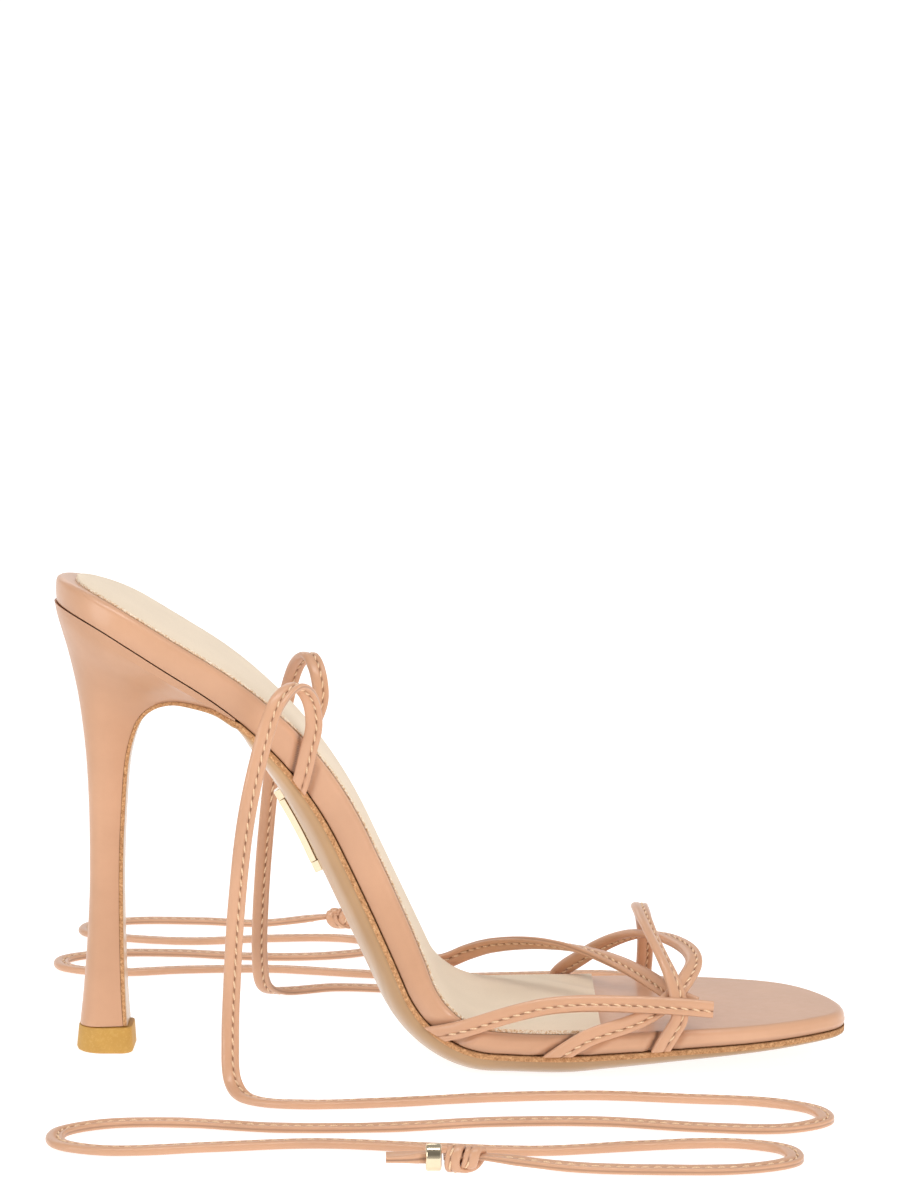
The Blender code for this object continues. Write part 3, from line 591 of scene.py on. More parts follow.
def walk_profile():
    """The stretches of the side profile as (along, length, start slope, end slope, x, z)."""
    slopes = [math.radians(BACK_SLOPE)] + [math.radians(row[2]) for row in PROFILE]
    drop = HEEL_HEIGHT - TREAD_HEIGHT
    for index, (name, length, _) in enumerate(PROFILE):
        if name == "tread":
            break
        if length:
            drop += arc_step(length, slopes[index], slopes[index + 1])[1]
    stretches = []
    along, x, z = 0.0, 0.0, HEEL_HEIGHT
    for index, (name, length, _) in enumerate(PROFILE):
        start, end = slopes[index], slopes[index + 1]
        if name == "waist":
            length = drop / math.sin(start)
        elif name == "toe spring":
            length = (SHOE_LENGTH - x) / arc_step(1.0, start, end)[0]
        stretches.append((along, length, start, end, x, z))
        step = arc_step(length, start, end)
        along, x, z = along + length, x + step[0], z + step[1]
    return stretches, along


STRETCHES, BOARD_LENGTH = walk_profile()


def spine(along):
    """X, Z and downward slope of the board's underside."""
    begins = [row[0] for row in STRETCHES]
    index = max(bisect.bisect_right(begins, along) - 1, 0)
    begin, length, start, end, x, z = STRETCHES[index]
    slope = start + (end - start) * (along - begin) / length
    step = arc_step(along - begin, start, slope)
    return x + step[0], z + step[1], slope


def place(along, across, rise):
    x, z, slope = spine(along)
    rise += across * eased(PLAN, 3, along)
    return Vector((x + rise * math.sin(slope), across, z + rise * math.cos(slope)))


def plan(along):
    """Middle line and half-width of the board."""
    middle = eased(PLAN, 1, along)
    half = eased(PLAN, 2, along)
    if along < SEAT_ROUND:
        half *= math.sqrt(max(1.0 - (1.0 - along / SEAT_ROUND) ** 2, 0.0))
    if along > TOE_START:
        share = min((along - TOE_START) / (BOARD_LENGTH - TOE_START), 1.0)
        half *= math.sqrt(1.0 - share**TOE_FULLNESS)
    return middle, half


def edge(side, along):
    middle, half = plan(along)
    return middle + side * half


def spread(start, end, count, both_ends=False):
    """Values from start to end, crowded towards the start, or towards both ends."""
    values = []
    for index in range(count + 1):
        share = index / count
        turn = math.pi * share
        if both_ends:
            share += CROWD_BOTH * (0.5 - 0.5 * math.cos(turn) - share)
        else:
            share += CROWD_START * (1.0 - math.cos(turn / 2) - share)
        values.append(start + (end - start) * share)
    return values


def ripple(seed, *place_values):
    """Smooth noise from -1 to 1 for up to three values."""
    values = list(place_values) + [0.0] * (3 - len(place_values))
    return noise.noise(Vector(values) + Vector((seed * 17.3, seed * 5.1, seed * 9.7)))


def bell(value, width):
    return math.exp(-((value / width) ** 2))


def spoke(side, up, angle):
    """Direction at an angle round an axis."""
    return side * math.cos(angle) + up * math.sin(angle)


class Skin:
    """Points and faces of one piece. A point has a painted shade value, a face the number of its finish.
    """

    def __init__(self):
        self.points = []
        self.painted_shades = []
        self.faces = []
        self.coats = []
        self.cuts = []

    def ring(self, points, painted_shades=None):
        start = len(self.points)
        self.points += points
        self.painted_shades += painted_shades or [0.0] * len(points)
        return list(range(start, len(self.points)))

    def face(self, corners, coat=0):
        self.faces.append(corners)
        self.coats.append(coat)

    def strip(self, low, high, coats=0, closed=True):
        """Faces between two rows of points. Coats is one number, or one for each step of the row."""
        count = len(low)
        for index in range(count if closed else count - 1):
            after = (index + 1) % count
            coat = coats if isinstance(coats, int) else coats[index]
            self.face((low[index], low[after], high[after], high[index]), coat)

    def loft(self, rings, painted_shades=None, coats=0, cap_coat=0):
        """A closed body through rings of points, with its two ends filled."""
        rows = []
        for index, ring in enumerate(rings):
            rows.append(self.ring(ring, painted_shades[index] if painted_shades else None))
        for low, high in zip(rows, rows[1:]):
            self.strip(low, high, coats)
        self.face(tuple(rows[0]), cap_coat)
        self.face(tuple(rows[-1]), cap_coat)
        return rows

    def cut(self, rows, point, direction, coat):
        """Notes that the rows' faces below a plane come off, and the opening is filled again."""
        self.cuts.append(([index for row in rows for index in row], point, direction, coat))

    def trim(self, bm):
        """Makes the cuts. Points and edges keep their order, so that every run gives the same mesh."""
        bm.verts.ensure_lookup_table()
        jobs = [(dict.fromkeys(bm.verts[i] for i in rows), *rest) for rows, *rest in self.cuts]
        for verts, point, direction, coat in jobs:
            faces = [face for face in bm.faces if all(vert in verts for vert in face.verts)]
            edges = dict.fromkeys(side for face in faces for side in face.edges)
            bmesh.ops.bisect_plane(
                bm,
                geom=[*verts, *edges, *faces],
                plane_co=point * MM + ORIGIN,
                plane_no=direction,
                dist=1e-8,
                clear_inner=True,
            )
            rim = [side for side in bm.edges if side.is_boundary]
            for face in bmesh.ops.holes_fill(bm, edges=rim, sides=0)["faces"]:
                face.material_index = coat

    def make(self, name, finishes, slot, *nodes):
        """The piece as an object that rides on the shoe and stands for the nodes."""
        mesh = bpy.data.meshes.new(name)
        mesh.from_pydata([point * MM + ORIGIN for point in self.points], [], self.faces)
        mesh.polygons.foreach_set("material_index", self.coats)
        # Each point's painted shade goes on the mesh, for the finishes to darken their colour by
        mesh.attributes.new("painted_shade", "FLOAT", "POINT").data.foreach_set("value", self.painted_shades)
        bm = bmesh.new()
        bm.from_mesh(mesh)
        self.trim(bm)
        bmesh.ops.recalc_face_normals(bm, faces=bm.faces)
        bm.to_mesh(mesh)
        bm.free()
        for finish in finishes:
            mesh.materials.append(finish)
        mesh.shade_smooth()
        mesh.set_sharp_from_angle(angle=math.radians(SHARP_ANGLE))
        piece = add_object(name, mesh)
        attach(piece, "root")
        if nodes:
            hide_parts(*nodes)
        return piece


def add_object(name, data):
    """A linked object with this data."""
    made = bpy.data.objects.new(name, data)
    bpy.context.scene.collection.objects.link(made)
    return made


def add_node(tree, kind, inputs, **settings):
    """A shader node with its settings. An input that is a socket is linked, another is set."""
    made = tree.nodes.new("ShaderNode" + kind)
    for name, value in settings.items():
        setattr(made, name, value)
    for key, value in inputs.items():
        if isinstance(value, bpy.types.NodeSocket):
            tree.links.new(value, made.inputs[key])
        else:
            made.inputs[key].default_value = value
    return made


def map_range(tree, value, span, result):
    """A socket's value, carried over from one range to another."""
    low, high = span
    start, end = result
    inputs = {"Value": value, "From Min": low, "From Max": high, "To Min": start, "To Max": end}
    return add_node(tree, "MapRange", inputs).outputs[0]


class Finish:
    """A Principled material and the parts that its pattern is made of, in metres of the object."""

    def __init__(self, name, **sockets):
        self.material = bpy.data.materials.new(name)
        self.material.use_nodes = True
        self.tree = self.material.node_tree
        self.shader = self.tree.nodes["Principled BSDF"]
        for socket, value in sockets.items():
            label = socket.replace("_", " ").title().replace("Ior", "IOR")
            self.shader.inputs[label].default_value = value
        self.place = add_node(self.tree, "TexCoord", {}).outputs["Object"]

    def speckle(self, size, detail, roughness=0.5, stretch=None):
        """Noise whose blots are about this many millimetres wide."""
        where = self.place
        if stretch:
            where = add_node(self.tree, "Mapping", {"Vector": where, "Scale": stretch}).outputs[0]
        inputs = {"Vector": where, "Scale": 1.0 / (size * MM), "Detail": detail, "Roughness": roughness}
        return add_node(self.tree, "TexNoise", inputs).outputs["Fac"]

    def cells(self, size):
        """Distance from the middle of irregular cells of this many millimetres."""
        inputs = {"Vector": self.place, "Scale": 1.0 / (size * MM)}
        return add_node(self.tree, "TexVoronoi", inputs).outputs["Distance"]

    def remap(self, value, low, high, start=0.0, end=1.0):
        return map_range(self.tree, value, (low, high), (start, end))

    def sum(self, first, second, share):
        """First plus a share of second."""
        inputs = {0: second, 1: share, 2: first}
        return add_node(self.tree, "Math", inputs, operation="MULTIPLY_ADD").outputs[0]

    def mix(self, share, first, second):
        """From the first colour to the second. Each is a socket or a plain colour."""
        inputs = {0: share}
        for key, value in ((6, first), (7, second)):
            inputs[key] = value if isinstance(value, bpy.types.NodeSocket) else [*value, 1.0]
        return add_node(self.tree, "Mix", inputs, data_type="RGBA").outputs[2]

    def clouded(self, tone, size, dark, light):
        """A tone that drifts from deeper to lighter in soft clouds."""
        cloud = self.remap(self.speckle(size, 3.0), 0.3, 0.7)
        return self.mix(cloud, deeper(tone, dark), [min(1.0, channel * light) for channel in tone])

    def spotted(self, base, pattern, low, high, most, colour):
        """The base with up to this much of a colour where the pattern is high."""
        return self.mix(self.remap(pattern, low, high, 0.0, most), base, colour)

    def mix_painted_shade(self, base, shade):
        """Takes the base as the colour, and mixes in the shade colour by the mesh's painted shade values.
        """
        painted_shade = add_node(self.tree, "Attribute", {}, attribute_name="painted_shade").outputs["Fac"]
        self.colour(self.mix(painted_shade, base, shade))

    def bands(self, value, *stops):
        """Colours by value, from (value, colour) stops."""
        made = add_node(self.tree, "ValToRGB", {"Fac": value})
        steps = made.color_ramp.elements
        while len(steps) < len(stops):
            steps.new(0.5)
        for step, (where, colour) in zip(steps, stops):
            step.position = where
            step.color = [*colour, 1.0]
        return made.outputs["Color"]

    def colour(self, socket):
        self.tree.links.new(socket, self.shader.inputs["Base Color"])

    def gloss(self, socket):
        self.tree.links.new(socket, self.shader.inputs["Roughness"])

    def relief(self, height, millimetres, strength):
        inputs = {"Height": height, "Distance": millimetres * MM, "Strength": strength}
        bump = add_node(self.tree, "Bump", inputs)
        self.tree.links.new(bump.outputs["Normal"], self.shader.inputs["Normal"])


def deeper(colour, share):
    """The colour with less light, a little warmer."""
    return [colour[0] * share, colour[1] * share**1.15, colour[2] * share**1.3]


def calf_leather(colours, name="calf_leather", coat=0.3, shine=0.4):
    """Smooth calf: soft cloudy tone, fine pores, a thin coat, and painted shade in troughs, seams and
    creases.
    """
    finish = Finish(name, coat_weight=coat, coat_roughness=0.2, specular_ior_level=shine)
    tone = list(colours.nude_leather)
    mottle = finish.speckle(2.4, 4.0, 0.6)
    base = finish.clouded(tone, 26.0, 0.93, 1.05)
    base = finish.spotted(base, mottle, 0.35, 0.75, 0.08, deeper(tone, 0.72))
    finish.mix_painted_shade(base, deeper(tone, 0.2))
    pores = finish.remap(finish.cells(0.55), 0.0, 0.5)
    grain = finish.sum(pores, finish.speckle(0.3, 3.0, 0.6), 0.6)
    finish.gloss(finish.remap(mottle, 0.3, 0.7, 0.36, 0.41))
    finish.relief(grain, 0.03, 0.3)
    return finish.material


def stretched_calf(colours):
    """The same calf drawn tight over the heel, with less coat."""
    return calf_leather(colours, "stretched_calf", 0.12, 0.3)


def calf_cut_edge(colours):
    """Cut edge of a strap: paler, fibrous, with painted shade from the mesh."""
    finish = Finish("calf_cut_edge", roughness=0.8, specular_ior_level=0.25)
    tone = list(colours.nude_leather)
    fibre = finish.speckle(0.35, 4.0, 0.7)
    base = finish.bands(fibre, (0.3, deeper(tone, 0.55)), (0.5, tone), (0.7, srgb(238, 205, 170)))
    finish.mix_painted_shade(base, deeper(tone, 0.2))
    finish.relief(fibre, 0.12, 0.7)
    return finish.material


def lining_leather(colours):
    """Matt cream lining with a faint nap, and painted shade at its edge and in its folds."""
    finish = Finish("lining_leather", roughness=0.72, specular_ior_level=0.25, sheen_weight=0.12)
    tone = list(colours.sock)
    nap = finish.speckle(0.4, 4.0, 0.65)
    base = finish.clouded(tone, 14.0, 0.97, 1.02)
    base = finish.spotted(base, nap, 0.45, 0.75, 0.22, deeper(tone, 0.75))
    finish.mix_painted_shade(base, deeper(tone, 0.55))
    finish.relief(nap, 0.06, 0.5)
    return finish.material


def lining_cut_edge(colours):
    """Cut edge of the lining: pale fuzz with orange fibres."""
    finish = Finish("lining_cut_edge", roughness=0.9, specular_ior_level=0.15, sheen_weight=0.3)
    fuzz = finish.speckle(0.55, 4.0, 0.75)
    stops = (
        (0.32, srgb(168, 126, 86)),
        (0.43, srgb(222, 184, 142)),
        (0.52, list(colours.sock)),
        (0.68, srgb(250, 240, 224)),
    )
    finish.colour(finish.bands(fuzz, *stops))
    finish.relief(fuzz, 0.25, 0.9)
    return finish.material


def varnished_sole(colours):
    """Varnished underside: tan, drawn out along the shoe, with a clear coat and painted shade under the
    forefoot.
    """
    finish = Finish("varnished_sole", coat_weight=0.45, coat_roughness=0.16, specular_ior_level=0.45)
    tone = list(colours.underside)
    streak = finish.speckle(5.0, 4.0, 0.6, (0.25, 1.0, 0.25))
    base = finish.clouded(tone, 30.0, 0.9, 1.06)
    base = finish.spotted(base, streak, 0.4, 0.7, 0.2, deeper(tone, 0.7))
    finish.mix_painted_shade(base, deeper(tone, 0.3))
    finish.gloss(finish.remap(streak, 0.3, 0.7, 0.3, 0.44))
    finish.relief(finish.speckle(0.5, 3.0), 0.02, 0.4)
    return finish.material


def raw_sole_edge(colours):
    """Raw edge of the outsole: orange-brown fibres and pale specks, with painted shade along its seam."""
    finish = Finish("raw_sole_edge", roughness=0.85, specular_ior_level=0.2)
    tone = list(colours.raw_edge)
    specks = finish.speckle(0.7, 5.0, 0.8)
    stops = (
        (0.3, deeper(tone, 0.4)),
        (0.42, deeper(tone, 0.72)),
        (0.53, tone),
        (0.62, srgb(226, 180, 132)),
        (0.74, srgb(242, 210, 168)),
    )
    finish.mix_painted_shade(finish.bands(specks, *stops), deeper(tone, 0.16))
    finish.relief(specks, 0.3, 0.9)
    return finish.material


def tan_rubber(colours):
    """Rubber with pale dust on it."""
    finish = Finish("tan_rubber", specular_ior_level=0.35)
    dust = finish.speckle(0.6, 4.0, 0.7)
    base = finish.clouded(list(colours.rubber), 5.0, 0.9, 1.0)
    finish.colour(finish.spotted(base, dust, 0.5, 0.8, 0.4, srgb(233, 196, 126)))
    finish.gloss(finish.remap(dust, 0.3, 0.7, 0.48, 0.66))
    finish.relief(dust, 0.04, 0.6)
    return finish.material


def gold_plating(colours):
    """Polished plating with faint wipe marks."""
    finish = Finish("gold_plating", metallic=1.0)
    tone = list(colours.metal)
    wipe = finish.speckle(1.4, 4.0, 0.6)
    finish.colour(finish.mix(finish.remap(wipe, 0.3, 0.7), deeper(tone, 0.94), tone))
    finish.gloss(finish.remap(wipe, 0.3, 0.7, 0.08, 0.16))
    finish.relief(wipe, 0.004, 0.2)
    return finish.material


def sewing_thread(colours):
    """Twisted sewing thread."""
    finish = Finish("sewing_thread", roughness=0.62, specular_ior_level=0.35, sheen_weight=0.2)
    tone = list(colours.thread)
    twist = finish.speckle(0.22, 2.0)
    finish.colour(finish.mix(finish.remap(twist, 0.35, 0.65), deeper(tone, 0.72), tone))
    finish.relief(twist, 0.08, 0.8)
    return finish.material


FINISHES = {
    maker.__name__: maker
    for maker in (
        calf_leather,
        stretched_calf,
        calf_cut_edge,
        lining_leather,
        lining_cut_edge,
        varnished_sole,
        raw_sole_edge,
        tan_rubber,
        gold_plating,
        sewing_thread,
    )
}


def finishes(*names):
    """The named materials, each made on its first use."""
    colours = bpy.context.scene.sandal_colours
    return [bpy.data.materials.get(name) or FINISHES[name](colours) for name in names]


def wall_point(side, along, rise, thickness):
    """Centre of a strap that lies on the board's side wall, and the wall's outward direction."""
    slope = (edge(side, along + NUDGE) - edge(side, along - NUDGE)) / (2 * NUDGE)
    forward = (place(along + NUDGE, 0.0, 0.0) - place(along - NUDGE, 0.0, 0.0)).normalized()
    out = (Vector((0.0, side, 0.0)) - forward * (side * slope)).normalized()
    wall = place(along, edge(side, along), rise)
    return wall + out * (GAP + thickness / 2), out


def seam_plane(along):
    """A point of the seam between board and outsole, and the direction up from it."""
    slope = spine(along)[2]
    return place(along, plan(along)[0], 0.0), Vector((math.sin(slope), 0.0, math.cos(slope)))


def strap_ends():
    """Side and the two lowest rows (along, rise) of each strap that lies on the wall."""
    ends = []
    for route in TOE_STRAP_ROUTES.values():
        for rows in (route["start"], route["end"][::-1]):
            if rows:
                ends.append((rows[0][0], rows[0][1:], rows[2][1:]))
    for side in (MEDIAL, LATERAL):
        ends.append((side, TIE_SEAM[0], TIE_SEAM[2]))
    return ends


def wall_trough(ends, half_width, side, along, rise):
    """How far a point of the wall is pressed in beside the straps, and how dark the painted shadow line
    is there.
    """
    depth, line = 0.0, 0.0
    for end_side, low, high in ends:
        if end_side != side or abs(along - low[0]) > TROUGH_REACH:
            continue
        run = Vector((high[0] - low[0], high[1] - low[1])).normalized()
        offset = Vector((along - low[0], rise - low[1]))
        across = run.x * offset.y - run.y * offset.x
        away = abs(across) - half_width
        depth += TROUGH_DEPTH * bell(away - TROUGH_LINE, TROUGH_WIDTH)
        depth -= RIDGE_HEIGHT * bell(away - RIDGE_AWAY, RIDGE_WIDTH)
        shade = 1.0 if across > 0.0 else TROUGH_FAR_SIDE
        line = max(line, shade * bell(away - TROUGH_LINE / 2, TROUGH_LINE))
    return depth, line


def board_stations():
    """Stations along the board, closer together beside the ends of the straps."""
    stations = spread(0.0, BOARD_LENGTH, BOARD_STATIONS, both_ends=True)
    for _, low, high in strap_ends():
        first = min(low[0], high[0]) - STRAP_END_REACH
        last = max(low[0], high[0]) + STRAP_END_REACH
        count = int((last - first) / STRAP_END_STEP)
        stations += [first + (last - first) * step / count for step in range(count + 1)]
    kept = [0.0]
    for along in sorted(stations):
        at_tip = along < BOARD_TIP or along > BOARD_LENGTH - BOARD_TIP
        if at_tip or along - kept[-1] > STRAP_END_STEP / 2:
            kept.append(along)
    return kept[1:]


def board_loop():
    """The board's plan as (side, along, across, inward along, inward across), medial side first."""
    stations = board_stations()
    loop = [(MEDIAL, along, edge(MEDIAL, along)) for along in stations]
    loop += [(LATERAL, along, edge(LATERAL, along)) for along in stations[-2:0:-1]]
    rows = []
    for index, (side, along, across) in enumerate(loop):
        before = loop[index - 1]
        after = loop[(index + 1) % len(loop)]
        run = Vector((after[1] - before[1], after[2] - before[2])).normalized()
        rows.append((side, along, across, -run.y, run.x))
    return rows


def board_contours():
    """Inset, share of the thickness, lift and painted shade from the foot of the wall up to the rim."""
    contours = []
    for turn in range(0, 91, 2 * ROUND_TURN):
        angle = math.radians(turn)
        inset = BOARD_FOOT_ROUND * (1.0 - math.sin(angle))
        lift = BOARD_FOOT_ROUND * (1.0 - math.cos(angle)) - BOARD_FOOT_DROP
        contours.append((inset, 0.0, lift, 0.0))
    for row in range(1, WALL_ROWS):
        share = row / WALL_ROWS
        lift = (BOARD_FOOT_ROUND - BOARD_FOOT_DROP) * (1.0 - share) - BOARD_TOP_ROUND * share
        contours.append((-WALL_BULGE * math.sin(math.pi * share), share, lift, 0.0))
    for turn in range(0, 91, ROUND_TURN):
        angle = math.radians(turn)
        inset = BOARD_TOP_ROUND * (1.0 - math.cos(angle))
        contours.append((inset, 1.0, BOARD_TOP_ROUND * (math.sin(angle) - 1.0), 0.0))
    return contours + [(inset, 1.0, 0.0, painted_shade) for inset, painted_shade in RIM_ROWS]


def back_lean(along, rise):
    """How far the wall's back is pushed out so that it stands upright over the heel."""
    share = max(1.0 - along / BACK_UPRIGHT, 0.0)
    return (rise - BACK_PIVOT) * math.tan(math.radians(BACK_SLOPE)) * share**BACK_EASE


def build_board(sizes):
    """Wrapped board: an underside, a wall with troughs beside the straps, a round upper edge."""
    skin = Skin()
    loop = board_loop()
    ends = strap_ends()
    half_width = sizes.strap_width / MM / 2
    rows = []
    for inset, share, lift, painted_shade in board_contours():
        ring, painted_shades = [], []
        sock_side = inset > BOARD_TOP_ROUND
        for side, along, across, inward_along, inward_across in loop:
            rise = share * eased(LAYERS, 1, along) + lift
            press, line = wall_trough(ends, half_width, side, along, rise)
            wave = WALL_WAVE * ripple(SEEDS["wall"], along / WALL_WAVE_ALONG, side, rise / WALL_WAVE_UP)
            moved = inset + press + wave
            along_in = along + moved * inward_along
            across_in = across + moved * inward_across
            rise = share * eased(LAYERS, 1, along_in) + lift
            ring.append(place(along_in - back_lean(along, rise), across_in, rise))
            # Painted shade beside the sock; elsewhere painted shadow beside the straps and painted shade
            # at the wall's foot
            if sock_side:
                painted_shades.append(painted_shade * eased(RIM_SHADE, 1, along) if along < SOCK_FRONT else 0.0)
            else:
                low = max(0.0, 1.0 - share / FOOT_SHADE_REACH)
                painted_shades.append(max(TROUGH_SHADE * line, low * eased(FOOT_SHADE, 1, along)))
        rows.append(skin.ring(ring, painted_shades))
    for low, high in zip(rows, rows[1:]):
        skin.strip(low, high)
    for ring in (rows[0], rows[-1]):
        fill_rungs(skin, ring, TOP_RUNGS)
    return skin.make("board_wrap", finishes("calf_leather"), "nude_leather", "insole_board")


def fill_rungs(skin, ring, count):
    """Fills a plan ring with rungs between its two sides, each of count steps."""
    tip = len(ring) // 2
    before = None
    for index in range(1, tip):
        left, right = ring[index], ring[-index]
        ends = skin.points[left], skin.points[right]
        inner = [ends[0].lerp(ends[1], step / count) for step in range(1, count)]
        row = [left] + skin.ring(inner) + [right]
        if before:
            skin.strip(before, row, closed=False)
        else:
            for first, second in zip(row, row[1:]):
                skin.face((ring[0], first, second))
        before = row
    for first, second in zip(before, before[1:]):
        skin.face((ring[tip], first, second))


def sock_half_width(along):
    if along >= SEAT_ROUND:
        return plan(along)[1] - SOCK_INSET
    share = (SEAT_ROUND - along) / (SEAT_ROUND - SOCK_BACK)
    return (plan(SEAT_ROUND)[1] - SOCK_INSET) * math.sqrt(max(1.0 - share**2, SOCK_TIP))


def sock_fold(along, across):
    """How far a point of the sock lies in its soft folds."""
    depth = 0.0
    for start, end, fold, width in SOCK_FOLDS:
        run = Vector(end) - Vector(start)
        offset = Vector((along, across)) - Vector(start)
        share = min(max(offset.dot(run) / run.length_squared, 0.0), 1.0)
        depth += fold * bell((offset - run * share).length, width)
    return depth


def build_sock():
    """Sock lining with a fuzzy cut edge, a little padded under the foot."""
    skin = Skin()
    rings, painted_shades = [], []
    for along in spread(SOCK_BACK, SOCK_FRONT, SOCK_STATIONS):
        middle = plan(along)[0]
        half = sock_half_width(along)
        low = eased(LAYERS, 1, along) + GAP
        pad = SOCK_PAD * min(1.0, half / SOCK_PAD_EASE) * min(1.0, (SOCK_FRONT - along) / SOCK_PAD_EASE)
        sunk = eased(SOCK_SUNK, 1, along)
        edges = {}
        for side in (MEDIAL, LATERAL):
            wobble = ripple(SEEDS["sock"], along / SOCK_WOBBLE_SPAN, side)
            wobble += SOCK_FINE * ripple(SEEDS["sock_fine"], along / SOCK_FINE_SPAN, side)
            reach = max(half + SOCK_WOBBLE * wobble, SLIVER)
            fray = SOCK_FRAY * ripple(SEEDS["fray"], along / SOCK_FRAY_SPAN, side)
            edges[side] = []
            for inward, up, sinking, fraying, painted_shade in SOCK_EDGE:
                across = side * max(reach - inward, SLIVER / 2)
                edges[side].append((across, up - sinking * sunk + fraying * fray, painted_shade))
        section = edges[MEDIAL]
        inner = max(half - SOCK_RIM, SLIVER / 2)
        for step in range(SOCK_TOP_POINTS + 1):
            share = 2.0 * step / SOCK_TOP_POINTS - 1.0
            swell = SOCK_THICKNESS + pad * (1.0 - share**4) - sunk * share**6
            fold = sock_fold(along, middle + share * inner) * (1.0 - share**8)
            # Each fold's depth also sets its painted shade
            section.append((share * inner, swell - fold, FOLD_SHADE * max(fold, 0.0)))
        section += reversed(edges[LATERAL])
        rings.append([place(along, middle + across, low + up) for across, up, _ in section])
        painted_shades.append([painted_shade for _, _, painted_shade in section])
    spans = len(rings[0])
    fuzzy = len(SOCK_EDGE)
    coats = [1 if span < fuzzy or spans - fuzzy - 2 < span < spans - 1 else 0 for span in range(spans)]
    skin.loft(rings, painted_shades, coats, 1)
    return skin.make("sock", finishes("lining_leather", "lining_cut_edge"), "sock_leather", "sock_lining")


def heel_row(level):
    return [eased(HEEL_ROWS, column, level) for column in range(1, 7)]


def heel_half_width(share, widest, breast):
    """Half-width of a heel section at a share of the way from its back to its breast."""
    if share < HEEL_WIDEST_SHARE:
        return widest * math.sqrt(1.0 - (1.0 - share / HEEL_WIDEST_SHARE) ** 2)
    run = (share - HEEL_WIDEST_SHARE) / (1.0 - HEEL_WIDEST_SHARE)
    return widest + (breast - widest) * run**2


def both_sides(point, shares):
    """A ring from its back, up the medial side to the front and back down the lateral side."""
    ring = [point(share, MEDIAL) for share in shares]
    return ring + [point(share, LATERAL) for share in reversed(shares[1:])]


def build_heel():
    """Covered heel: its top follows the board's underside, its front is flat under the flap."""
    skin = Skin()
    shares = [1.0 - math.cos(math.pi / 2 * k / HEEL_SIDE_POINTS) for k in range(HEEL_SIDE_POINTS + 1)]

    def seat_point(share, side):
        along = share * BREAST_ALONG
        return place(along, edge(side, along), -GAP)

    rings = [both_sides(seat_point, shares)]
    levels = [HEEL_ROWS[-1][0] * index / HEEL_LEVELS for index in range(HEEL_LEVELS + 1)]
    for level in levels[1:]:
        back_x, back_z, front_x, front_z, widest, breast = heel_row(level)

        def ring_point(share, side):
            half = heel_half_width(share, widest, breast)
            x = back_x + (front_x - back_x) * share
            z = back_z + (front_z - back_z) * share
            return Vector((x, side * half, z))

        rings.append(both_sides(ring_point, shares))
    # Painted shade on the upper heel
    painted_shades = [[eased(HEEL_SHADE, 1, level)] * len(rings[0]) for level in levels]
    skin.loft(rings, painted_shades)
    return skin.make("heel_cover", finishes("stretched_calf"), "nude_leather", "heel")


def build_lift():
    """Rubber top piece: a D with round corners at the breast and rounded edges."""
    skin = Skin()
    rings = []
    for z, back, front, half in LIFT_ROWS:
        ring = []
        round_centre = back + half
        for turn in range(90, 271, LIFT_TURN):
            angle = math.radians(turn)
            ring.append(Vector((round_centre + half * math.cos(angle), half * math.sin(angle), z)))
        for side in (MEDIAL, LATERAL):
            turns = list(range(0, 91, ROUND_TURN))
            for turn in turns if side == MEDIAL else reversed(turns):
                angle = math.radians(turn)
                x = front - LIFT_CORNER + LIFT_CORNER * math.sin(angle)
                y = half - LIFT_CORNER + LIFT_CORNER * math.cos(angle)
                ring.append(Vector((x, side * y, z)))
        rings.append(ring)
    skin.loft(rings)
    return skin.make("top_lift", finishes("tan_rubber"), "top_piece_rubber", "heel_top_piece")


def sole_section(middle, half, thickness_edge, bulge, flat):
    """Across, depth, painted shade and coat of the outsole's outline: raw edge, step, round, flat middle.
    """
    side = []
    for row in range(RAW_ROWS + 1):
        share = row / RAW_ROWS
        rounded = RAW_ROUND * (2.0 * share - 1.0) ** 6
        side.append((half - rounded, thickness_edge * share, 0.0 if row else RAW_SEAM_PAINTED_SHADE, 1))
    under = half - min(SOLE_STEP, SOLE_STEP_MOST * half)
    for turn in range(SOLE_TURNS + 1):
        angle = math.pi / 2 * turn / SOLE_TURNS
        reach = under * (flat + (1.0 - flat) * math.cos(angle))
        painted_shade = 0.0 if turn else STEP_PAINTED_SHADE
        side.append((reach, thickness_edge + bulge * math.sin(angle), painted_shade, 0))
    medial = [(middle - across, *rest) for across, *rest in side]
    lateral = [(middle + across, *rest) for across, *rest in reversed(side)]
    return medial + lateral


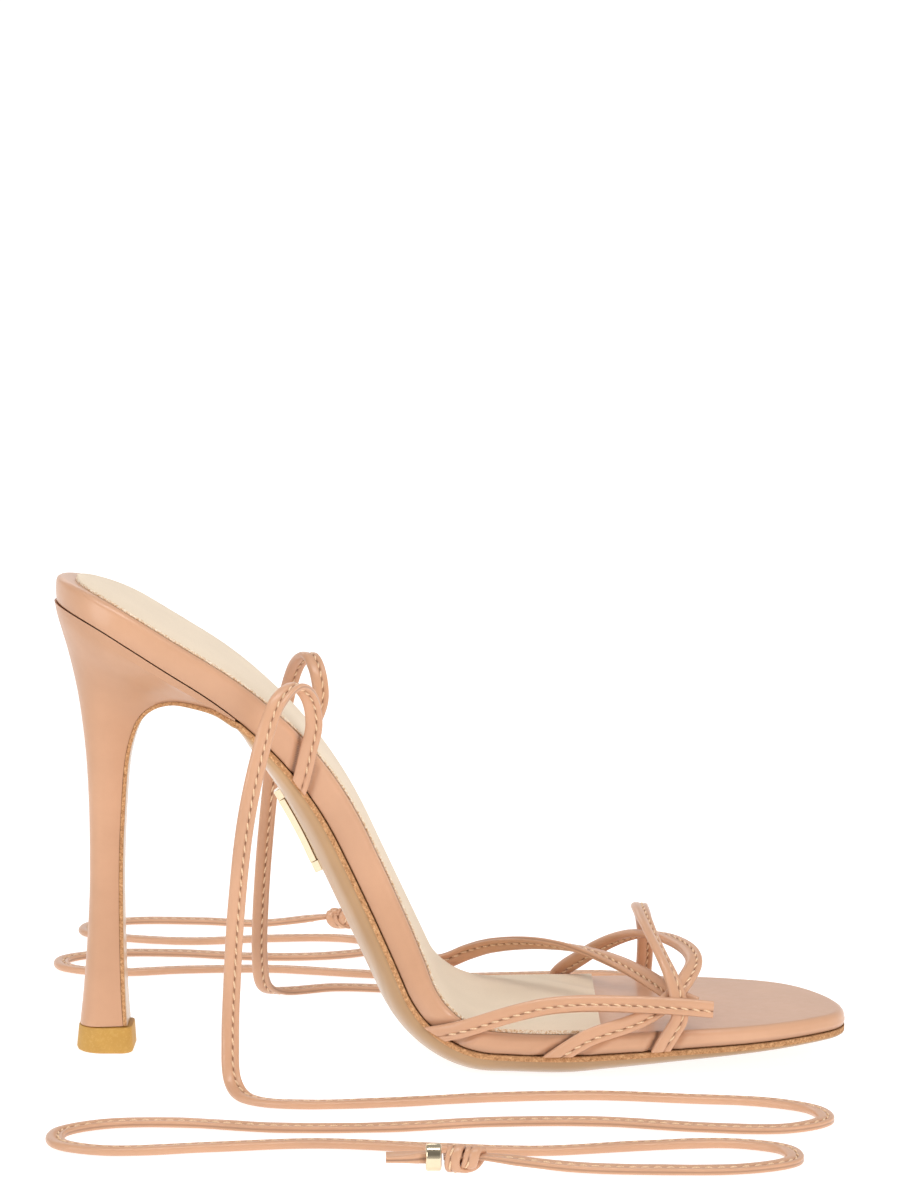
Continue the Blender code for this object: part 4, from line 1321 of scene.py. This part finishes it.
def build_outsole():
    """Outsole under the board, then a thin flap over the heel's arch and down its breast."""
    skin = Skin()
    rings, painted_shades = [], []
    tip = BOARD_LENGTH - SLIVER

    def add_ring(key, section, point, under_shade=0.0, edge_shade=0.0):
        ring = []
        for across, depth, painted_shade, coat in section:
            grain = ripple(SEEDS["raw_edge"], key / RAW_GRAIN_ALONG, depth / RAW_GRAIN_UP, across)
            rough = RAW_ROUGHNESS * grain if coat else 0.0
            ring.append(point(across + math.copysign(rough, across), depth))
        for spot in ring:
            spot.z = max(spot.z, 0.0)
        rings.append(ring)
        # Painted shade at the seam and the step, and under the forefoot
        shades = [max(painted_shade, edge_shade if coat else under_shade) for _, _, painted_shade, coat in section]
        painted_shades.append(shades)

    for along in spread(tip, BREAST_ALONG + FLAP_START, OUTSOLE_STATIONS):
        middle, half = plan(along)
        bulge = eased(LAYERS, 2, along) * math.sqrt(min(1.0, half / TIP_ROUND))
        bulge *= 1.0 - FLAP_THIN * max(0.0, 1.0 - (along - BREAST_ALONG) / FLAP_EASE)
        proud = RAW_EDGE_PROUD * min(1.0, half / TIP_SHARP)
        section = sole_section(middle, half + proud, RAW_EDGE, bulge, eased(LAYERS, 3, along))
        shades = [eased(SOLE_SHADE, column, along) for column in (1, 2)]
        add_ring(along, section, lambda across, depth: place(along, across, -GAP - depth), *shades)
    last_level = HEEL_ROWS[-1][0]
    for index in range(1, FLAP_STATIONS + 1):
        level = last_level * index / FLAP_STATIONS
        front_x, front_z = heel_row(level)[2:4]
        before = heel_row(level - NUDGE)[2:4]
        after = heel_row(min(level + NUDGE, last_level))[2:4]
        run = Vector((after[0] - before[0], 0.0, after[1] - before[1])).normalized()
        out = Vector((-run.z, 0.0, run.x))
        share = max(0.0, 1.0 - level / ARCH_LEVELS)
        thickness = FLAP_EDGE + share * (RAW_EDGE - FLAP_EDGE)
        half = heel_row(level)[5] + share * RAW_EDGE_PROUD
        middle = share * plan(BREAST_ALONG)[0]
        section = sole_section(middle, half, thickness, FLAP_BULGE + share * ARCH_BULGE, FLAP_FLAT)
        start = Vector((front_x, 0.0, front_z)) + out * FLAP_GAP
        add_ring(front_z, section, lambda across, depth: start + out * depth + Vector((0.0, across, 0.0)))
    flags = [row[3] for row in section]
    coats = [1 if flags[span] and flags[(span + 1) % len(flags)] else 0 for span in range(len(flags))]
    skin.loft(rings, painted_shades, coats, 1)
    return skin.make("sole", finishes("varnished_sole", "raw_sole_edge"), "sole_leather", "outsole")


class StrapLine:
    """Smooth line of a strap through (point, face) rows, with its face's direction."""

    def __init__(self, route):
        self.rows = []
        distance = 0.0
        for index, (point, face) in enumerate(route):
            if index:
                distance += (point - route[index - 1][0]).length
            self.rows.append((distance, *point, *face))
        self.length = distance

    def read(self, distance, first):
        return Vector([eased(self.rows, column, distance) for column in range(first, first + 3)])

    def frame(self, distance):
        """Centre, sideways direction and face of the strap."""
        ahead = min(distance + NUDGE, self.length)
        behind = max(distance - NUDGE, 0.0)
        run = (self.read(ahead, 1) - self.read(behind, 1)).normalized()
        face = self.read(distance, 4)
        face = (face - run * face.dot(run)).normalized()
        return self.read(distance, 1), run.cross(face), face


def strap_measures(sizes):
    """Width, thickness and stitch pitch of the straps in millimetres."""
    return [size / MM for size in (sizes.strap_width, sizes.strap_thickness, sizes.stitch_pitch)]


def add_strap(skin, line, width, thickness, pitch, stitched_side, seed, taper=0.0):
    """Folded strap along a line: a plump fold, a stitch groove with needle holes, a cut edge."""
    step = pitch / STRAP_STEPS
    distances = [step * index for index in range(int(line.length / step))] + [line.length]
    lower = [(across, -up, groove) for across, up, groove in reversed(STRAP_SECTION[1:])]
    section = list(STRAP_SECTION) + lower
    rings, painted_shades = [], []
    for distance in distances:
        centre, side, face = line.frame(distance)
        hole = 0.5 + 0.5 * math.cos(2 * math.pi * distance / pitch)
        plump = 1.0 + STRAP_PLUMP * ripple(seed, distance / STRAP_PLUMP_SPAN)
        broad = 1.0 + STRAP_BROAD * ripple(seed + 1, distance / STRAP_BROAD_SPAN)
        slim = 1.0 - taper * max(0.0, 1.0 - (line.length - distance) / KNOT_LENGTH)
        ring, shades = [], []
        for across, up, groove in section:
            height = up * plump * slim
            # Painted shade: a steady line in the cut edge's notch, and along the groove, darkest in the
            # needle holes
            shade = EDGE_SHADE
            if abs(up) > FACE_HEIGHT:
                height -= math.copysign(HOLE_DEPTH * groove * hole, up)
                shade = GROOVE_SHADE + HOLE_SHADE * hole**3
            sideways = stitched_side * across * broad * slim * width / 2
            ring.append(centre + side * sideways + face * (height * thickness / 2))
            shades.append(groove * shade)
        rings.append(ring)
        painted_shades.append(shades)
    return skin.loft(rings, painted_shades, 0, 1)


def add_stitches(skin, line, sizes, width, thickness, stitched_side, margins):
    """Two rows of stitches, one on each face of a strap, from hole to hole along its groove."""
    pitch = sizes.stitch_pitch / MM
    half_length = sizes.stitch_length / MM / 2
    radius = sizes.thread_width / MM / 2
    for number in range(int(line.length / pitch)):
        middle = (number + 0.5) * pitch
        if not margins[0] < middle < line.length - margins[1]:
            continue
        for up in (1.0, -1.0):
            rings = []
            varied = ripple(SEEDS["stitch"], STITCH_STRIDE * number, up)
            reach = half_length * (1.0 + STITCH_VARIATION * varied)
            for share, swell in STITCH_ROWS:
                centre, side, face = line.frame(middle + share * reach)
                arch = GROOVE_HEIGHT * thickness / 2 + radius * (STITCH_ARCH - share**4 - STITCH_SINK)
                sideways = GROOVE_SHARE * width / 2 + STITCH_SLANT * share * up
                spot = centre + side * (stitched_side * sideways) + face * (up * arch)
                ring = []
                for turn in range(STITCH_SIDES):
                    out = spoke(side, face, 2 * math.pi * turn / STITCH_SIDES)
                    ring.append(spot + out * (radius * swell))
                rings.append(ring)
            skin.loft(rings, None, THREAD_COAT, THREAD_COAT)


def seam_rows(rows, step):
    """The rows at the start of a strap that lie within reach of the seam."""
    return rows[: int(SEAM_REACH / step)]


def over_toes(point, lean):
    """A point in the air with the direction in which a strap there faces, away from the toes."""
    away = (Vector(point) - Vector((point[0], *TOE_AXIS))).normalized()
    return Vector(point), (away + lean).normalized()


def build_toe_straps(sizes):
    """The four straps of the upper, each with its stitches, cut off level with the seam."""
    width, thickness, pitch = strap_measures(sizes)
    pieces = []
    for number, (name, row) in enumerate(TOE_STRAP_ROUTES.items()):
        route = [wall_point(*end, thickness) for end in row["start"]]
        towards, leans = STRAP_LEAN.get(name, ((0.0, 0.0, 0.0), [0.0] * len(row["points"])))
        route += [over_toes(point, Vector(towards) * lean) for point, lean in zip(row["points"], leans)]
        route += [wall_point(*end, thickness) for end in row["end"]]
        line = StrapLine(route)
        skin = Skin()
        rows = add_strap(skin, line, width, thickness, pitch, 1.0, STRAP_SEEDS["toe"] + 3 * number)
        step = pitch / STRAP_STEPS
        skin.cut(seam_rows(rows, step), *seam_plane(row["start"][1][1]), 1)
        if row["end"]:
            skin.cut(seam_rows(rows[::-1], step), *seam_plane(row["end"][1][1]), 1)
        margins = STITCH_MARGINS["sewn" if row["end"] else "free"]
        add_stitches(skin, line, sizes, width, thickness, 1.0, margins)
        pieces.append(skin.make("strap_" + name, finishes(*STRAP_COATS), "nude_leather", "toe_straps"))
    return pieces


def tie_route(row, thickness):
    """Points and faces of a tie, from the seam to its knot."""
    side = row["side"]
    rest = GAP + thickness / 2 + TIE_CLEARANCE
    route = []
    for along, rise in TIE_SEAM:
        point, out = wall_point(side, along, rise, thickness)
        route.append((point, -out))
    for x, away, z, turn in row["fall"]:
        angle = math.radians(turn)
        face = Vector((0.0, -side * math.sin(angle), math.cos(angle)))
        route.append((Vector((x, side * away, z)), face))
    for x, away in row["floor"]:
        route.append((Vector((x, side * away, rest)), Vector((0.0, 0.0, 1.0))))
    step_x, step_away = row["end_heading"]
    last = route[-1][0]
    tip = Vector((last.x + step_x, last.y + side * step_away, TIP_HEIGHT))
    route.append((tip, Vector((0.0, 0.0, 1.0))))
    return route


def axes_along(heading):
    side = heading.cross(Vector((0.0, 0.0, 1.0))).normalized()
    return side, side.cross(heading)


def build_knot(name, start, heading, sizes):
    """Overhand knot: the strap wound round itself, over its own turns and in under them."""
    side, up = axes_along(heading)
    route = []
    for distance, turn, away in KNOT_WRAPS:
        out = spoke(side, up, math.radians(turn))
        route.append((start + heading * distance + out * away, out))
    skin = Skin()
    line = StrapLine(route)
    width, thickness = KNOT_STRAP
    pitch = sizes.stitch_pitch / MM
    add_strap(skin, line, width, thickness, pitch, 1.0, STRAP_SEEDS["knot"])
    add_stitches(skin, line, sizes, width, thickness, 1.0, STITCH_MARGINS["knot"])
    return skin.make(name + "_knot_wraps", finishes(*STRAP_COATS), "nude_leather", name + "_knot")


def build_bead(name, start, heading):
    """Ring bead: a barrel with rounded rims and a bore through it."""
    side, up = axes_along(heading)
    outline = [(BEAD_LENGTH / 2, BEAD_BORE), (BEAD_ROUND / 2, BEAD_BORE)]
    for turn in range(0, 91, ROUND_TURN):
        angle = math.radians(turn)
        far = BEAD_FACE * BEAD_ROUND * (1.0 - math.cos(angle))
        outline.append((far, BEAD_RADIUS - BEAD_ROUND * (1.0 - math.sin(angle))))
    outline += [(BEAD_LENGTH - far, radius) for far, radius in reversed(outline[1:])]
    rings = []
    for step in range(BEAD_TURNS):
        out = spoke(side, up, 2 * math.pi * step / BEAD_TURNS)
        rings.append([start + heading * far + out * radius for far, radius in outline])
    skin = Skin()
    rows = [skin.ring(ring) for ring in rings]
    for low, high in zip(rows, rows[1:] + rows[:1]):
        skin.strip(low, high)
    return skin.make(name + "_ring_bead", finishes("gold_plating"), "pale_gold", name + "_bead")


def build_tie_end(name, start, heading):
    """Flared end past the bead, with its two layers at the cut."""
    side, up = axes_along(heading)
    rings, painted_shades = [], []
    far_end = END_ROWS[-1][0]
    for step in range(END_POINTS + 1):
        distance = far_end * step / END_POINTS
        high, wide = (eased(END_ROWS, column, distance) for column in (1, 2))
        ring, shades = [], []
        for turn in range(0, 360, END_TURN):
            angle = math.radians(turn)
            power = 2.0 / END_SQUARENESS
            across = math.copysign(abs(math.cos(angle)) ** power, math.cos(angle))
            rise = math.copysign(abs(math.sin(angle)) ** power, math.sin(angle))
            ring.append(start + heading * distance + side * (wide * across) + up * (high * rise))
            # Painted shade along the seam at each side
            shades.append(END_SEAM_SHADE * bell(rise, END_SEAM_WIDTH))
        rings.append(ring)
        painted_shades.append(shades)
    skin = Skin()
    skin.loft(rings, painted_shades, 0, 1)
    return skin.make(name + "_flared_end", finishes(*STRAP_COATS[:2]), "nude_leather", name + "_end")


def build_tie(label, row, sizes):
    """One ankle tie as a free cord with its knot, its bead and its end."""
    name = "tie_" + label
    width, thickness, pitch = strap_measures(sizes)
    route = tie_route(row, thickness)
    line = StrapLine(route)
    tip, before = route[-1][0], route[-2][0]
    heading = Vector((tip.x - before.x, tip.y - before.y, 0.0)).normalized()
    into_knot = StrapLine(route + [(tip + heading * TIE_INTO_KNOT, route[-1][1])])
    stitched_side = row["side"]
    skin = Skin()
    seed = STRAP_SEEDS["tie"]
    rows = add_strap(skin, into_knot, width, thickness, pitch, stitched_side, seed, TIE_TAPER)
    skin.cut(seam_rows(rows, pitch / STRAP_STEPS), *seam_plane(TIE_SEAM[0][0] - TIE_CUT), 1)
    add_stitches(skin, line, sizes, width, thickness, stitched_side, STITCH_MARGINS["tie"])
    tie = skin.make(name + "_strap", finishes(*STRAP_COATS), "nude_leather", name)
    knot_start = tip + heading * GAP
    bead_start = knot_start + heading * (KNOT_LENGTH + GAP)
    hardware = [
        build_knot(name, knot_start, heading, sizes),
        build_bead(name, bead_start, heading),
        build_tie_end(name, bead_start, heading),
    ]
    shares = [step / TIE_PATH_STEPS for step in range(TIE_PATH_STEPS + 1)]
    path = [line.read(line.length * share, 1) * MM + ORIGIN for share in shares]
    return tie


def plate_point(far, across, depth):
    """Point under the outsole's lowest line, at a depth below it."""
    along = PLATE_ALONG - PLATE_LENGTH / 2 + far
    return place(along, plan(PLATE_ALONG)[0] + across, -GAP - RAW_EDGE - eased(LAYERS, 2, along) - depth)


def add_plate(skin, rows, width, height):
    """A strip along the outsole, through rows of distance and depth of its inner face."""
    rings = []
    for far, depth in rows:
        corners = ((-width, depth), (-width, height), (width, height), (width, depth))
        rings.append([plate_point(far, across / 2, deep) for across, deep in corners])
    skin.loft(rings)


def build_arch_plate():
    """Bar and its two feet, bent along the outsole's underside."""
    begin = PLATE_FOOT + PLATE_JOINT
    run = PLATE_LENGTH - 2 * begin
    bar = [begin + run * step / PLATE_STEPS for step in range(PLATE_STEPS + 1)]
    skin = Skin()
    add_plate(skin, [(far, PLATE_STAND_OFF) for far in bar], PLATE_WIDTH, PLATE_HEIGHT)
    add_plate(skin, [(far, PLATE_FOOT_GAP) for far in bar], PLATE_WEB_WIDTH, PLATE_STAND_OFF)
    for start in (0.0, PLATE_LENGTH - PLATE_FOOT):
        foot = [(start, PLATE_FOOT_GAP), (start + PLATE_FOOT, PLATE_FOOT_GAP)]
        add_plate(skin, foot, PLATE_WIDTH, PLATE_FOOT_HEIGHT)
    plate = skin.make("arch_bar", finishes("gold_plating"), "pale_gold", "arch_plate")
    bevel = plate.modifiers.new("soft edges", "BEVEL")
    bevel.width = PLATE_BEVEL * MM
    bevel.segments = PLATE_BEVEL_STEPS
    return plate


def build_camera():
    data = bpy.data.cameras.new("camera")
    data.lens = CAMERA_LENS
    data.sensor_width = CAMERA_SENSOR
    camera = add_object("camera", data)
    camera.location = Vector(CAMERA_PLACE) * MM + ORIGIN
    camera.rotation_euler = (math.radians(CAMERA_TILT), 0.0, 0.0)
    bpy.context.scene.camera = camera


def build_floor():
    """Plain pale floor that glows a little, as a light table does."""
    mesh = bpy.data.meshes.new("floor")
    corners = [(x * FLOOR_HALF, y * FLOOR_HALF, 0.0) for x, y in ((-1, -1), (1, -1), (1, 1), (-1, 1))]
    mesh.from_pydata(corners, [], [(0, 1, 2, 3)])
    finish = Finish("pale_floor", roughness=0.7, specular_ior_level=0.2)
    greys = [[grey] * 3 for grey in FLOOR_GREYS]
    finish.colour(finish.mix(finish.speckle(FLOOR_CLOUDS, 2.0), *greys))
    finish.shader.inputs["Emission Color"].default_value = (1.0, 1.0, 1.0, 1.0)
    finish.shader.inputs["Emission Strength"].default_value = FLOOR_GLOW
    mesh.materials.append(finish.material)
    add_object("floor", mesh)


def build_lights():
    for name, spot, width, height, power, aim, mirrored in LIGHTS:
        data = bpy.data.lights.new(name, "AREA")
        data.shape = "RECTANGLE"
        data.size = width
        data.size_y = height
        data.energy = power
        light = add_object(name, data)
        light.location = spot
        light.rotation_euler = (Vector(aim) - Vector(spot)).to_track_quat("-Z", "Y").to_euler()
        light.visible_glossy = mirrored
    world = bpy.data.worlds.new("studio")
    world.use_nodes = True
    tree = world.node_tree
    direction = add_node(tree, "TexCoord", {}).outputs["Generated"]
    axes = add_node(tree, "SeparateXYZ", {"Vector": direction}).outputs
    upward = map_range(tree, axes["Z"], SKY_UPWARD, (SKY_HORIZON, SKY_TOP))
    backward = map_range(tree, axes["Y"], SKY_BACKWARD, (SKY_FRONT, 1.0))
    strength = add_node(tree, "Math", {0: upward, 1: backward}, operation="MULTIPLY").outputs[0]
    sky = tree.nodes["Background"]
    sky.inputs["Color"].default_value = (1.0, 1.0, 1.0, 1.0)
    tree.links.new(strength, sky.inputs["Strength"])
    bpy.context.scene.world = world
    bpy.context.scene.view_settings.view_transform = "Standard"


def size_property(name, description, millimetres):
    return bpy.props.FloatProperty(
        name=name,
        description=description,
        default=millimetres * MM,
        min=0.0001,
        precision=4,
        subtype="DISTANCE",
        unit="LENGTH",
    )


def colour_property(name, description, *channels):
    return bpy.props.FloatVectorProperty(
        name=name,
        description=description,
        default=srgb(*channels),
        size=3,
        min=0.0,
        max=1.0,
        subtype="COLOR",
    )


class SandalSizes(bpy.types.PropertyGroup):
    """Sizes of the straps and their sewing."""

    strap_width: size_property("Strap width", "Width of the toe straps and the ties", 4.3)
    strap_thickness: size_property("Strap thickness", "Thickness of the folded leather", 2.0)
    stitch_pitch: size_property("Stitch pitch", "Distance from needle hole to needle hole", 2.8)
    stitch_length: size_property("Stitch length", "Length of thread that shows in one stitch", 1.9)
    thread_width: size_property("Thread width", "Thickness of the sewing thread", 0.46)


class SandalColours(bpy.types.PropertyGroup):
    """Colours of the finishes."""

    nude_leather: colour_property("Nude leather", "Straps, board wrap and heel cover", 207, 159, 126)
    sock: colour_property("Sock", "Lining under the foot", 232, 213, 188)
    underside: colour_property("Underside", "Varnished underside of the sole", 190, 150, 106)
    raw_edge: colour_property("Raw edge", "Cut edge of the outsole", 206, 153, 107)
    rubber: colour_property("Top piece", "Rubber under the heel", 204, 156, 78)
    metal: colour_property("Metal", "Beads and arch bar", 240, 222, 190)
    thread: colour_property("Thread", "Sewing thread", 246, 212, 174)


class SANDAL_OT_stage(bpy.types.Operator):
    """Make the camera, the lights and the floor"""

    bl_idname = "sandal.stage"
    bl_label = "Stage"

    def execute(self, context):
        build_camera()
        build_lights()
        build_floor()
        return {"FINISHED"}


class SANDAL_OT_ties(bpy.types.Operator):
    """Lay out the two ankle ties with their knots, beads and ends"""

    bl_idname = "sandal.ties"
    bl_label = "Ankle ties"

    def execute(self, context):
        for label, row in TIE_ROUTES.items():
            build_tie(label, row, context.scene.sandal_sizes)
        return {"FINISHED"}


class SANDAL_OT_board(bpy.types.Operator):
    """Wrap the board in leather"""

    bl_idname = "sandal.board"
    bl_label = "Wrapped board"

    def execute(self, context):
        build_board(context.scene.sandal_sizes)
        return {"FINISHED"}


class SANDAL_OT_sock(bpy.types.Operator):
    """Glue the sock on the board"""

    bl_idname = "sandal.sock"
    bl_label = "Sock lining"

    def execute(self, context):
        build_sock()
        return {"FINISHED"}


class SANDAL_OT_outsole(bpy.types.Operator):
    """Make the outsole with its raw edge and its flap"""

    bl_idname = "sandal.outsole"
    bl_label = "Outsole"

    def execute(self, context):
        build_outsole()
        return {"FINISHED"}


class SANDAL_OT_heel(bpy.types.Operator):
    """Cover the heel and fit its top piece"""

    bl_idname = "sandal.heel"
    bl_label = "Heel"

    def execute(self, context):
        build_heel()
        build_lift()
        return {"FINISHED"}


class SANDAL_OT_toe_straps(bpy.types.Operator):
    """Sew the four toe straps"""

    bl_idname = "sandal.toe_straps"
    bl_label = "Toe straps"

    def execute(self, context):
        build_toe_straps(context.scene.sandal_sizes)
        return {"FINISHED"}


class SANDAL_OT_arch_bar(bpy.types.Operator):
    """Fit the metal bar under the waist"""

    bl_idname = "sandal.arch_bar"
    bl_label = "Arch bar"

    def execute(self, context):
        build_arch_plate()
        return {"FINISHED"}


class SANDAL_PT_sidebar(bpy.types.Panel):
    """Pieces of the sandal, with their sizes and colours"""

    bl_idname = "SANDAL_PT_sidebar"
    bl_label = "Lace-up sandal"
    bl_space_type = "VIEW_3D"
    bl_region_type = "UI"
    bl_category = "Sandal"

    def draw(self, context):
        for operator in OPERATORS:
            self.layout.operator(operator.bl_idname)
        for group in (context.scene.sandal_sizes, context.scene.sandal_colours):
            column = self.layout.column()
            for name in group.__annotations__:
                column.prop(group, name)


OPERATORS = (
    SANDAL_OT_stage,
    SANDAL_OT_ties,
    SANDAL_OT_board,
    SANDAL_OT_sock,
    SANDAL_OT_outsole,
    SANDAL_OT_heel,
    SANDAL_OT_toe_straps,
    SANDAL_OT_arch_bar,
)
CLASSES = (SandalSizes, SandalColours, *OPERATORS, SANDAL_PT_sidebar)


def register():
    for item in CLASSES:
        bpy.utils.register_class(item)
    bpy.types.Scene.sandal_sizes = bpy.props.PointerProperty(type=SandalSizes)
    bpy.types.Scene.sandal_colours = bpy.props.PointerProperty(type=SandalColours)


def unregister():
    del bpy.types.Scene.sandal_colours
    del bpy.types.Scene.sandal_sizes
    for item in reversed(CLASSES):
        bpy.utils.unregister_class(item)


def main():
    register()
    bpy.ops.sandal.stage()
    bpy.ops.sandal.ties()
    bpy.ops.sandal.board()
    bpy.ops.sandal.sock()
    bpy.ops.sandal.outsole()
    bpy.ops.sandal.heel()
    bpy.ops.sandal.toe_straps()
    bpy.ops.sandal.arch_bar()


if __name__ == "__main__":
    main()
